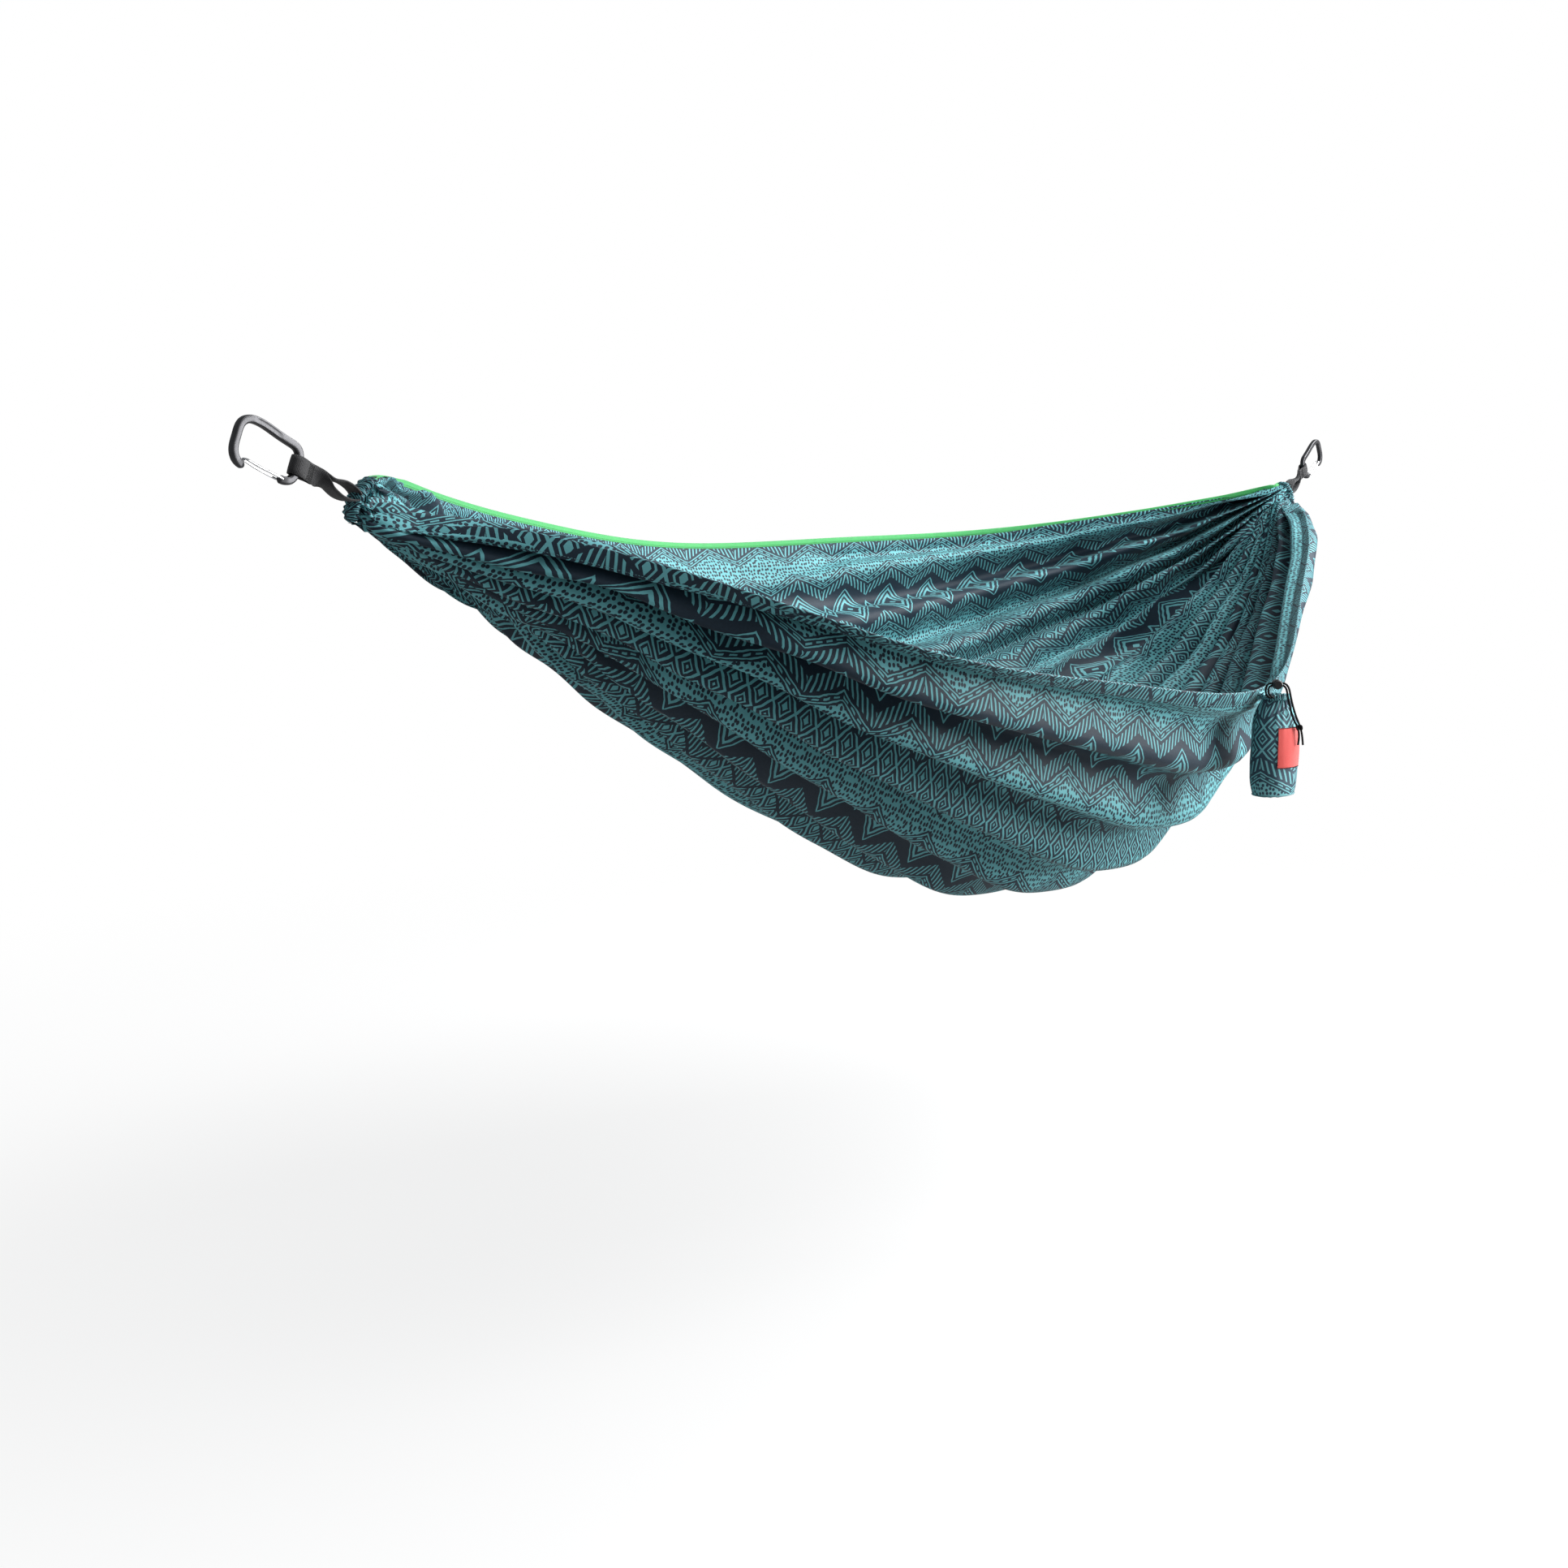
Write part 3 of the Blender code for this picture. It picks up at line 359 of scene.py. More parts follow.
def stitches(name, seats, finish, body, radius=0.00028, length=0.0026, lift=0.0002):
    """A row of thread stitches as one piece. Each seat is (middle, direction, outward normal)."""
    vertices = []
    faces = []
    for middle, along, normal in seats:
        middle = np.asarray(middle, float)
        along = np.asarray(along, float)
        normal = np.asarray(normal, float)
        along = along / np.linalg.norm(along)
        side = np.cross(along, normal)
        side /= np.linalg.norm(side)
        up = np.cross(side, along)
        start = len(vertices)
        for share, thin in ((-0.5, 0.35), (-0.3, 1.0), (0.3, 1.0), (0.5, 0.35)):
            arch = lift * (1.0 - (2.0 * share) ** 2)
            centre = middle + along * (length * share) + up * arch
            for k in range(6):
                angle = math.pi * k / 3.0
                vertices.append(centre + radius * thin * (side * math.cos(angle) + up * math.sin(angle)))
        for ring in range(3):
            a = start + 6 * ring
            faces += [(a + k, a + (k + 1) % 6, a + 6 + (k + 1) % 6, a + 6 + k) for k in range(6)]
        faces.append(tuple(range(start + 5, start - 1, -1)))
        faces.append(tuple(range(start + 18, start + 24)))
    return mesh_piece(name, vertices, faces, finish, body)


# ---- materials


class Sums:
    """Builds math nodes in a material: every call returns a socket, and takes sockets or plain numbers."""

    def __init__(self, tree):
        self.tree = tree

    def link(self, value, socket):
        if isinstance(value, (int, float)):
            socket.default_value = value
        else:
            self.tree.links.new(value, socket)

    def do(self, kind, *values):
        node = self.tree.nodes.new("ShaderNodeMath")
        node.operation = kind
        for value, socket in zip(values, node.inputs):
            self.link(value, socket)
        return node.outputs[0]

    def add(self, a, b):
        return self.do("ADD", a, b)

    def sub(self, a, b):
        return self.do("SUBTRACT", a, b)

    def mul(self, a, b):
        return self.do("MULTIPLY", a, b)

    def scaled(self, a, factor, offset=0.0):
        return self.do("MULTIPLY_ADD", a, factor, offset)

    def frac(self, a):
        return self.do("FRACT", a)

    def size(self, a):
        return self.do("ABSOLUTE", a)

    def below(self, a, b):
        return self.do("LESS_THAN", a, b)

    def above(self, a, b):
        return self.do("GREATER_THAN", a, b)

    def either(self, a, b):
        return self.do("MAXIMUM", a, b)

    def both(self, a, b):
        return self.do("MULTIPLY", a, b)

    def between(self, a, low, high):
        return self.both(self.above(a, low), self.below(a, high))

    def pick(self, mask, a, b):
        """a where the mask is 1, and b elsewhere."""
        return self.add(b, self.mul(mask, self.sub(a, b)))

    def zigzag(self, a, period, shift=0.0):
        """1 at the shift and every period after it, 0 halfway between."""
        return self.mul(self.size(self.sub(self.frac(self.scaled(a, 1.0 / period, shift)), 0.5)), 2.0)


def new_material(name, roughness, metallic=0.0, sheen=0.0, coat=0.0, specular=0.5):
    made = bpy.data.materials.new(name)
    made.use_nodes = True
    shader = made.node_tree.nodes["Principled BSDF"]
    shader.inputs["Roughness"].default_value = roughness
    shader.inputs["Metallic"].default_value = metallic
    shader.inputs["Sheen Weight"].default_value = sheen
    shader.inputs["Coat Weight"].default_value = coat
    shader.inputs["Specular IOR Level"].default_value = specular
    return made, made.node_tree, shader


def noise(tree, vector, scale, detail=3.0, roughness=0.5):
    node = tree.nodes.new("ShaderNodeTexNoise")
    node.inputs["Scale"].default_value = scale
    node.inputs["Detail"].default_value = detail
    node.inputs["Roughness"].default_value = roughness
    tree.links.new(vector, node.inputs["Vector"])
    return node.outputs["Fac"]


def flat_place(tree):
    """A cloth's own flat coordinates, in metres."""
    node = tree.nodes.new("ShaderNodeUVMap")
    node.uv_map = "metres"
    return node.outputs["UV"]


def solid_place(tree):
    return tree.nodes.new("ShaderNodeTexCoord").outputs["Object"]


def axes(tree, vector):
    split = tree.nodes.new("ShaderNodeSeparateXYZ")
    tree.links.new(vector, split.inputs[0])
    return split.outputs


def mapped(tree, vector, scale):
    node = tree.nodes.new("ShaderNodeMapping")
    node.inputs["Scale"].default_value = scale
    tree.links.new(vector, node.inputs["Vector"])
    return node.outputs["Vector"]


def mixed(tree, factor, a, b):
    """Colour a at factor 0 and b at factor 1; each is a socket or an (r, g, b)."""
    node = tree.nodes.new("ShaderNodeMix")
    node.data_type = "RGBA"
    for value, socket in ((factor, node.inputs[0]), (a, node.inputs[6]), (b, node.inputs[7])):
        if isinstance(value, tuple):
            socket.default_value = (*value, 1.0)
        elif isinstance(value, float):
            socket.default_value = value
        else:
            tree.links.new(value, socket)
    return node.outputs[2]


def shades(tree, factor, colour, low, high):
    """The colour, from low times itself at factor 0 to high times itself at factor 1."""
    return mixed(tree, factor, tuple(low * c for c in colour), tuple(high * c for c in colour))


def paint(tree, shader, colour):
    tree.links.new(colour, shader.inputs["Base Color"])


def bump(tree, shader, height, distance, strength=1.0):
    node = tree.nodes.new("ShaderNodeBump")
    node.inputs["Distance"].default_value = distance
    node.inputs["Strength"].default_value = strength
    tree.links.new(height, node.inputs["Height"])
    tree.links.new(node.outputs["Normal"], shader.inputs["Normal"])


AQUA = (0.138, 0.430, 0.470)
SLATE = (0.010, 0.022, 0.036)
ZIG = 0.1175
REPEAT = 0.190
PRINT_OFFSET = 0.155


def print_mask(tree, flat, along, across):
    """1 where the geometric print is light: dotted fields, dashed zigzags, hatching, diamonds and a lattice."""
    s = Sums(tree)
    middle = 0.5 * REPEAT
    t = s.mul(s.size(s.sub(s.frac(s.scaled(across, 1.0 / REPEAT, 0.5)), 0.5)), REPEAT)
    zig = s.zigzag(along, ZIG)
    d = s.sub(t, s.scaled(zig, 0.026, 0.009))
    spots = tree.nodes.new("ShaderNodeTexVoronoi")
    spots.voronoi_dimensions = "2D"
    spots.inputs["Scale"].default_value = 150.0
    spots.inputs["Randomness"].default_value = 0.55
    tree.links.new(flat, spots.inputs["Vector"])
    field = s.both(s.below(d, 0.0), s.above(spots.outputs["Distance"], 0.35))
    # two light lines with light dashes between them
    lines = s.either(s.between(d, 0.0026, 0.0044), s.between(d, 0.0106, 0.0124))
    dash = s.both(s.between(d, 0.0064, 0.0086), s.below(s.frac(s.mul(along, 1.0 / 0.0147)), 0.60))
    lines = s.either(lines, dash)
    # strokes that lean with each leg of the zigzag
    lean = s.scaled(s.below(s.frac(s.mul(along, 1.0 / ZIG)), 0.5), 2.0, -1.0)
    stroke = s.frac(s.add(s.mul(along, 1.0 / 0.0098), s.mul(s.mul(d, lean), 40.0)))
    hatch = s.both(s.between(d, 0.0165, 0.0325), s.below(stroke, 0.38))
    # bold nested diamonds in the zigzag's valleys, small ones under its peaks
    u = s.mul(s.sub(s.frac(s.mul(along, 1.0 / ZIG)), 0.5), ZIG)
    w = s.mul(s.sub(s.frac(s.scaled(along, 1.0 / ZIG, 0.5)), 0.5), ZIG)
    high = s.size(s.sub(t, middle))
    m = s.add(s.mul(s.size(u), 1.0 / 0.0440), s.mul(high, 1.0 / 0.0370))
    rings = s.either(s.between(m, 0.84, 0.96), s.either(s.between(m, 0.54, 0.70), s.below(m, 0.17)))
    rings = s.either(rings, s.between(m, 1.10, 1.17))
    n = s.add(s.mul(s.size(w), 1.0 / 0.0140), s.mul(high, 1.0 / 0.0200))
    small = s.either(s.between(n, 0.70, 0.98), s.below(n, 0.30))
    diamonds = s.pick(s.below(m, 1.22), rings, s.both(small, s.below(n, 1.0)))
    # every second band has a lattice of crossed lines with a dot in each cell instead
    p = s.frac(s.mul(s.add(along, t), 3.0 / ZIG))
    q = s.frac(s.mul(s.sub(along, t), 3.0 / ZIG))
    crossed = s.either(s.below(p, 0.11), s.below(q, 0.11))
    cell = s.both(s.below(s.size(s.sub(p, 0.555)), 0.13), s.below(s.size(s.sub(q, 0.555)), 0.13))
    frame_in = s.both(s.below(s.size(s.sub(p, 0.555)), 0.30), s.below(s.size(s.sub(q, 0.555)), 0.30))
    frame_out = s.both(s.below(s.size(s.sub(p, 0.555)), 0.23), s.below(s.size(s.sub(q, 0.555)), 0.23))
    lattice = s.either(s.either(crossed, cell), s.both(frame_in, s.sub(1.0, frame_out)))
    second = s.below(s.frac(s.mul(across, 0.5 / REPEAT)), 0.5)
    inner = s.both(s.pick(second, lattice, diamonds), s.above(d, 0.0365))
    return s.either(s.either(field, lines), s.either(hatch, inner))


def printed_cloth(name, light=AQUA, dark=SLATE):
    """Thin woven nylon with the banded print, laid by the cloth's own flat coordinates in metres."""
    made, tree, shader = new_material(name, 0.60, sheen=0.05, specular=0.22)
    s = Sums(tree)
    flat = flat_place(tree)
    part = axes(tree, flat)
    along = s.add(part[0], s.scaled(noise(tree, flat, 90.0, 1.0), 0.0014, -0.0007))
    across = s.add(part[1], s.scaled(noise(tree, flat, 110.0, 1.0), 0.0014, -0.0007))
    mask = print_mask(tree, flat, along, across)
    lights = shades(tree, s.scaled(noise(tree, flat, 6.0, 3.0), 0.9, -0.1), light, 0.86, 1.14)
    ink = shades(tree, noise(tree, flat, 300.0, 2.0), dark, 0.80, 1.5)
    paint(tree, shader, mixed(tree, mask, ink, lights))
    shader.inputs["Sheen Roughness"].default_value = 0.4
    crinkle = noise(tree, mapped(tree, flat, (0.30, 1.0, 1.0)), 70.0, 4.0, 0.6)
    weave = s.mul(s.mul(s.zigzag(part[0], 0.0009), s.zigzag(part[1], 0.0009)), 0.06)
    bump(tree, shader, s.add(crinkle, weave), 0.0016, 0.55)
    return made


def grosgrain(name, colour, pitch=0.0013, depth=0.0004):
    """Ribbed webbing: ribs run across its width, with a fine warp along it."""
    made, tree, shader = new_material(name, 0.72, sheen=0.3, specular=0.3)
    s = Sums(tree)
    flat = flat_place(tree)
    part = axes(tree, flat)
    rib = s.zigzag(part[0], pitch)
    warp = s.zigzag(part[1], 0.0008)
    # Painted highlight on the rib crests and painted shade in the valleys between the ribs, mixed with random tone
    # from the noise.
    shade = s.add(s.mul(rib, 0.7), s.mul(noise(tree, flat, 900.0, 3.0), 0.5))
    paint(tree, shader, shades(tree, shade, colour, 0.45, 1.9))
    bump(tree, shader, s.add(rib, s.mul(warp, 0.35)), depth, 0.9)
    return made


def anodised(name):
    """Dark grey coat with worn, lighter patches."""
    made, tree, shader = new_material(name, 0.36, metallic=0.75, specular=0.5)
    s = Sums(tree)
    place = solid_place(tree)
    grain = noise(tree, place, 900.0, 4.0)
    wear = noise(tree, place, 60.0, 5.0, 0.7)
    scuff = s.do("POWER", wear, 3.0)
    base = mixed(tree, grain, (0.034, 0.034, 0.037), (0.062, 0.062, 0.066))
    paint(tree, shader, mixed(tree, s.mul(scuff, 0.55), base, (0.22, 0.22, 0.23)))
    tree.links.new(s.scaled(wear, 0.22, 0.26), shader.inputs["Roughness"])
    bump(tree, shader, grain, 0.00006, 0.6)
    return made


def drawn_steel(name):
    made, tree, shader = new_material(name, 0.22, metallic=1.0)
    streak = noise(tree, mapped(tree, solid_place(tree), (0.2, 1.0, 1.0)), 1500.0, 3.0)
    paint(tree, shader, mixed(tree, streak, (0.55, 0.56, 0.58), (0.80, 0.80, 0.81)))
    tree.links.new(Sums(tree).scaled(streak, 0.18, 0.14), shader.inputs["Roughness"])
    bump(tree, shader, streak, 0.00003, 0.5)
    return made


def braided(name, colour):
    """Cord with two sets of strands that cross round it."""
    made, tree, shader = new_material(name, 0.72, sheen=0.0, specular=0.2)
    s = Sums(tree)
    place = solid_place(tree)
    part = axes(tree, place)
    level = s.mul(s.add(part[0], part[1]), 0.8)
    braid = s.either(s.zigzag(s.add(part[2], level), 0.0011), s.zigzag(s.sub(part[2], level), 0.0011))
    # Painted highlight on the strand crests and painted shade in the grooves between the strands, mixed with random
    # tone from the noise.
    shade = s.add(s.mul(braid, 0.6), s.mul(noise(tree, place, 2500.0, 2.0), 0.4))
    paint(tree, shader, shades(tree, shade, colour, 0.5, 2.2))
    bump(tree, shader, braid, 0.0003, 0.9)
    return made


def moulded(name, colour, roughness):
    made, tree, shader = new_material(name, roughness)
    grain = noise(tree, solid_place(tree), 1400.0, 3.0)
    paint(tree, shader, shades(tree, grain, colour, 0.7, 1.5))
    bump(tree, shader, grain, 0.00008, 0.7)
    return made


def woven(name, colour, pitch=0.0008, depth=0.00022, variation=0.25, uv=True):
    """Plain weave for tape, patch and thread."""
    made, tree, shader = new_material(name, 0.62, sheen=0.3, specular=0.3)
    s = Sums(tree)
    place = flat_place(tree) if uv else solid_place(tree)
    part = axes(tree, place)
    check = s.mul(s.zigzag(part[0], pitch), s.zigzag(part[1], pitch, 0.5))
    # Painted highlight on the weave's raised knots and painted shade between them, mixed with random tone from the
    # noise.
    shade = s.add(s.mul(check, 0.5), s.mul(noise(tree, place, 120.0, 3.0), 0.5))
    paint(tree, shader, shades(tree, shade, colour, 1.0 - variation, 1.0 + variation))
    bump(tree, shader, check, depth, 0.8)
    return made


CLOTH = printed_cloth("printed_nylon")
# The sack's copy of the printed nylon, with both inks painted lighter than the hammock's: painted light for the
# brighter light on the sack.
SACK_CLOTH_PAINTED_LIGHTER = printed_cloth("printed_nylon_sack_painted_lighter", light=(0.200, 0.520, 0.560), dark=(0.028, 0.055, 0.080))
GREEN = woven("green_tape", (0.045, 0.42, 0.105), pitch=0.0011)
RED = woven("red_patch", (0.72, 0.055, 0.045), pitch=0.0010, variation=0.12)
WEBBING = grosgrain("ribbed_webbing", (0.013, 0.013, 0.015))
ANODISED = anodised("anodised_grey")
STEEL = drawn_steel("drawn_steel")
CORD = braided("braided_cord", (0.0045, 0.0045, 0.0050))
PLASTIC = moulded("moulded_black", (0.014, 0.014, 0.015), 0.38)
TEAL_THREAD = woven("teal_thread", (0.10, 0.28, 0.31), pitch=0.0005, uv=False)
GREEN_THREAD = woven("green_thread", (0.03, 0.27, 0.07), pitch=0.0005, uv=False)
DARK_THREAD = woven("dark_thread", (0.020, 0.020, 0.022), pitch=0.0005, uv=False)


# ---- the cloth, relaxed into its folds


def section_curve(share):
    """Fine polyline across the cloth from the near hem to the far hem, at a share of the span."""
    near_y = -smooth_through(STATIONS, NEAR_OUT, share)
    near_z = smooth_through(STATIONS, NEAR_Z, share)
    far_y = smooth_through(STATIONS, FAR_OUT, share)
    far_z = smooth_through(STATIONS, FAR_Z, share)
    depth = smooth_through(STATIONS, BELLY, share)
    skew = smooth_through(STATIONS, SKEW, share)
    angle = np.linspace(0.0, math.pi, 121)
    across = (1.0 - SECTION_LINEAR) * (1.0 - np.cos(angle)) / 2.0 + SECTION_LINEAR * angle / math.pi
    y = near_y + (far_y - near_y) * across + skew * np.sin(angle)
    z = near_z + (far_z - near_z) * across - depth * np.sin(angle) ** SECTION_POWER
    left_lean = math.tan(LEFT_TILT) * max(0.0, 1.0 - share / TILT_FADE) ** 2
    right_lean = math.tan(RIGHT_TILT) * max(0.0, 1.0 - (1.0 - share) / TILT_FADE) ** 2
    middle = 0.5 * (near_z + far_z)
    x = CLOTH_START.x + GAP + (CLOTH_SPAN - 2.0 * GAP) * share + (left_lean - right_lean) * (z - middle)
    return np.stack([x, y, z], axis=-1)


def fitted_surface(rows, columns):
    """The smooth hanging shape: rows evenly spaced along the cloth, columns evenly spaced across it."""
    shares = np.linspace(0.0, 1.0, 161)
    grid = []
    for share in shares:
        curve = section_curve(share)
        arc = run_lengths(curve)
        at = np.linspace(0.0, arc[-1], columns)
        grid.append(read_at(at, arc, curve))
    grid = np.array(grid)
    steps = np.linalg.norm(np.diff(grid, axis=0), axis=2).mean(axis=1)
    along = np.concatenate([[0.0], np.cumsum(steps)])
    at = np.linspace(0.0, along[-1], rows)
    flat = grid.reshape(len(shares), -1)
    return read_at(at, along, flat).reshape(rows, columns, 3)


def unit_normals(grid):
    normal = np.cross(np.gradient(grid, axis=0), np.gradient(grid, axis=1))
    return normal / np.linalg.norm(normal, axis=2)[..., None]


def blurred(field, reach, axis):
    """Running mean along one axis, with the ends held."""
    pad = [(0, 0)] * field.ndim
    pad[axis] = (reach + 1, reach)
    total = np.cumsum(np.pad(field, pad, mode="edge"), axis=axis)
    count = field.shape[axis]
    high = np.take(total, np.arange(2 * reach + 1, 2 * reach + 1 + count), axis=axis)
    low = np.take(total, np.arange(0, count), axis=axis)
    return (high - low) / (2 * reach + 1)


def pull(points, weights, axis, first, step, rest, stiffness, only_push=False):
    """Moves every second pair of points, step apart along an axis, towards their rest distance."""
    count = points.shape[axis]
    starts = np.arange(count - step)
    starts = starts[(starts // step) % 2 == first]
    a = [slice(None)] * 3
    b = [slice(None)] * 3
    a[axis] = starts
    b[axis] = starts + step
    a = tuple(a[:2])
    b = tuple(b[:2])
    pa = points[a]
    pb = points[b]
    wa = weights[a]
    wb = weights[b]
    gap = pb - pa
    long = np.sqrt((gap * gap).sum(-1)) + 1e-9
    wanted = rest[a] if isinstance(rest, np.ndarray) else rest
    error = (long - wanted) / long
    if only_push:
        error = np.minimum(error, 0.0)
    move = gap * (stiffness * error / (wa + wb + 1e-9))[..., None]
    points[a] = pa + wa[..., None] * move
    points[b] = pb - wb[..., None] * move


def resampled(points, rows, columns):
    old_rows, old_columns = points.shape[:2]
    at = np.linspace(0.0, old_columns - 1.0, columns)
    k = np.minimum(at.astype(int), old_columns - 2)
    f = (at - k)[None, :, None]
    wide = points[:, k] * (1.0 - f) + points[:, k + 1] * f
    at = np.linspace(0.0, old_rows - 1.0, rows)
    k = np.minimum(at.astype(int), old_rows - 2)
    f = (at - k)[:, None, None]
    return wide[k] * (1.0 - f) + wide[k + 1] * f


def bundle_line(share):
    """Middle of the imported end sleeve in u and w, from the far hem (share 0) to the near hem (share 1)."""
    s = 1.0 - 2.0 * np.asarray(share, float)
    return CLIP_FROM_HANG + BUNDLE_AT + BUNDLE_SWEEP * s * s + BUNDLE_LEAN * s, BUNDLE_HALF * s


def end_ring(line, columns):
    """The cloth's end edge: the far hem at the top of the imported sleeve, the near hem at its bottom."""
    u, q = bundle_line(np.linspace(1.0, 0.0, columns))
    u = u + 0.5 * BUNDLE_DEEP
    hang = np.array(line.hang)
    return hang + np.array(line.u) * u[:, None] + np.array(line.w) * q[:, None]


def fold_wave(rows, columns):
    """Pleats that run the length of the cloth, some wider than others, with none across its middle line."""
    u = np.linspace(0.0, 1.0, rows)[:, None]
    v = np.linspace(0.0, 1.0, columns)[None, :]
    turns = PLEATS * v + 0.40 * np.sin(8.2 * v + 0.8) + 0.30 * np.sin(18.2 * v + 2.1 + 1.1 * u)
    turns = turns + 0.22 * np.sin(31.0 * v + 4.0 * u)
    turns = turns - np.round(2.0 * turns[:, columns // 2:columns // 2 + 1]) / 2.0
    wave = np.sin(2.0 * math.pi * turns)
    strength = 0.72 + 0.34 * np.sin(23.0 * v + 2.3 * u + 0.4) + 0.22 * np.sin(41.0 * v - 3.0 * u + 1.7)
    return np.sign(wave) * np.abs(wave) ** 0.85 * np.clip(strength, 0.25, 1.3)


def lengths_across(points):
    return np.linalg.norm(np.diff(points, axis=1), axis=2).sum(axis=1)


def pleated(goal, direction, room):
    """Each row folded along the wave until it is as long as the cloth is wide, or fills the room it has."""
    wave = fold_wave(*goal.shape[:2])
    low = np.zeros(len(goal))
    high = np.minimum(0.045, room)
    for _ in range(18):
        middle = 0.5 * (low + high)
        long = lengths_across(goal + direction * (wave * middle[:, None])[..., None])
        low = np.where(long < FLAT_WIDTH, middle, low)
        high = np.where(long < FLAT_WIDTH, high, middle)
    return goal + direction * (wave * low[:, None])[..., None]


def relaxed_cloth(levels):
    """The flat cut laid in pleats on the smooth hanging shape, then let settle to its own lengths."""
    points = None
    for rows, columns, rounds in levels:
        goal = fitted_surface(rows, columns)
        normal = unit_normals(goal)
        distance = FLAT_LENGTH * np.linspace(0.0, 1.0, rows)[:, None]
        facing = np.zeros_like(normal)
        facing[..., 1] = np.where(np.arange(columns) < columns / 2.0, 1.0, -1.0)
        for line, row, away in ((LEFT, 0, distance), (RIGHT, -1, FLAT_LENGTH - distance)):
            fade = 1.0 - np.clip(away / END_BLEND, 0.0, 1.0)
            fade = (fade * fade * (3.0 - 2.0 * fade))[..., None]
            shift = end_ring(line, columns) - goal[row]
            goal = goal + fade * shift[None, :, :]
            normal = normal * (1.0 - fade) + facing * fade
        normal /= np.linalg.norm(normal, axis=2)[..., None]
        from_end = np.minimum(distance, FLAT_LENGTH - distance)
        fresh = pleated(goal, normal, 0.80 * BUNDLE_WIDE + 0.55 * from_end[:, 0])
        points = fresh.copy() if points is None else resampled(points, rows, columns)
        points[0] = fresh[0]
        points[-1] = fresh[-1]
        weights = np.ones((rows, columns))
        weights[0] = 0.0
        weights[-1] = 0.0
        step_across = FLAT_WIDTH / (columns - 1)
        rest_across = np.repeat(lengths_across(fresh)[:, None] / (columns - 1), columns, axis=1)
        rest_along = np.linalg.norm(np.diff(goal, axis=0), axis=2)
        rest_along = np.concatenate([rest_along, rest_along[-1:]])
        from_edge = np.minimum(np.arange(columns), np.arange(columns)[::-1])[None, :] * step_across
        hem = np.clip(1.0 - from_edge / 0.030, 0.0, 1.0)
        hold = 0.0015 + 0.20 * hem * np.clip(from_end / 0.10, 0.0, 1.0)
        soft = 0.25 * np.clip((from_end - 0.12) / 0.30, 0.0, 1.0)
        for turn in range(rounds):
            for first in (0, 1):
                pull(points, weights, 1, first, 1, rest_across, 0.9)
            for first in (0, 1):
                pull(points, weights, 0, first, 1, rest_along, 0.6)
            for first in (0, 1):
                pull(points, weights, 1, first, 2, 1.90 * rest_across, soft, only_push=True)
            if turn % 2 == 0:
                for first in (0, 1):
                    pull(points, weights, 1, first, 4, 3.3 * rest_across, 0.4 * soft, only_push=True)
            points += weights[..., None] * hold[..., None] * (goal - points)
            if turn % 4 == 0:
                slow = blurred(blurred(goal - points, max(2, columns // 18), 1), max(2, rows // 16), 0)
                points += weights[..., None] * 0.5 * slow
            points[1:-1] += 0.08 * (0.5 * (points[:-2] + points[2:]) - points[1:-1])
    return points


levels = LEVELS
CLOTH_POINTS = relaxed_cloth(levels)
ROWS, COLUMNS = CLOTH_POINTS.shape[:2]


def cloth_piece():
    u = np.linspace(0.0, FLAT_LENGTH, ROWS)
    v = np.linspace(0.0, FLAT_WIDTH, COLUMNS)
    uv = np.stack(np.meshgrid(u, v + PRINT_OFFSET, indexing="ij"), axis=-1).reshape(-1, 2)
    made = mesh_piece("hammock_fabric", CLOTH_POINTS.reshape(-1, 3), grid_faces(ROWS, COLUMNS), CLOTH, "hammock", uv)
    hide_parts("hammock_cloth")
    return made


def edge_frame(side):
    """Edge line of the cloth, the direction from it into the cloth, and the cloth's normal there."""
    column = 0 if side == "near" else COLUMNS - 1
    inner = 3 if side == "near" else COLUMNS - 4
    edge = CLOTH_POINTS[:, column]
    into = CLOTH_POINTS[:, inner] - edge
    for _ in range(3):
        into[1:-1] = 0.5 * into[1:-1] + 0.25 * (into[:-2] + into[2:])
    along = np.gradient(edge, axis=0)
    along /= np.linalg.norm(along, axis=1)[:, None]
    into -= along * (into * along).sum(1)[:, None]
    into /= np.linalg.norm(into, axis=1)[:, None]
    normal = np.cross(along, into)
    return edge, into, normal, along


def folded_rings(edge, into, normal, widths, half, bulge, setback=0.0, squeeze=1.0):
    """Rings of a strip folded over an edge: six points round the fold, then six round its sewn side."""
    rings = []
    for p, i, n, w in zip(edge, into, normal, widths):
        ring = []
        for k in range(6):
            angle = math.pi * (0.5 + k / 5.0)
            ring.append(p + i * (setback + half * bulge * math.cos(angle)) + n * (half * bulge * math.sin(angle)))
        for k in range(6):
            angle = math.pi * (1.5 + k / 5.0)
            ring.append(p + i * (w + squeeze * half * math.cos(angle)) + n * (half * math.sin(angle)))
        rings.append(ring)
    return rings


def seam_seats(edge, into, normal, way, inset, clear, pitch):
    """Stitch seats on both faces of a seam that runs inset from an edge and stays clear of its ends."""
    total = run_lengths(edge)
    at = np.arange(clear, total[-1] - clear, pitch)
    seats = []
    for side in (1.0, -1.0):
        line = edge + into * inset + normal * side * SEAM_LIFT
        seats += zip(read_at(at, total, line), read_at(at, total, way), read_at(at, total, side * normal))
    return seats


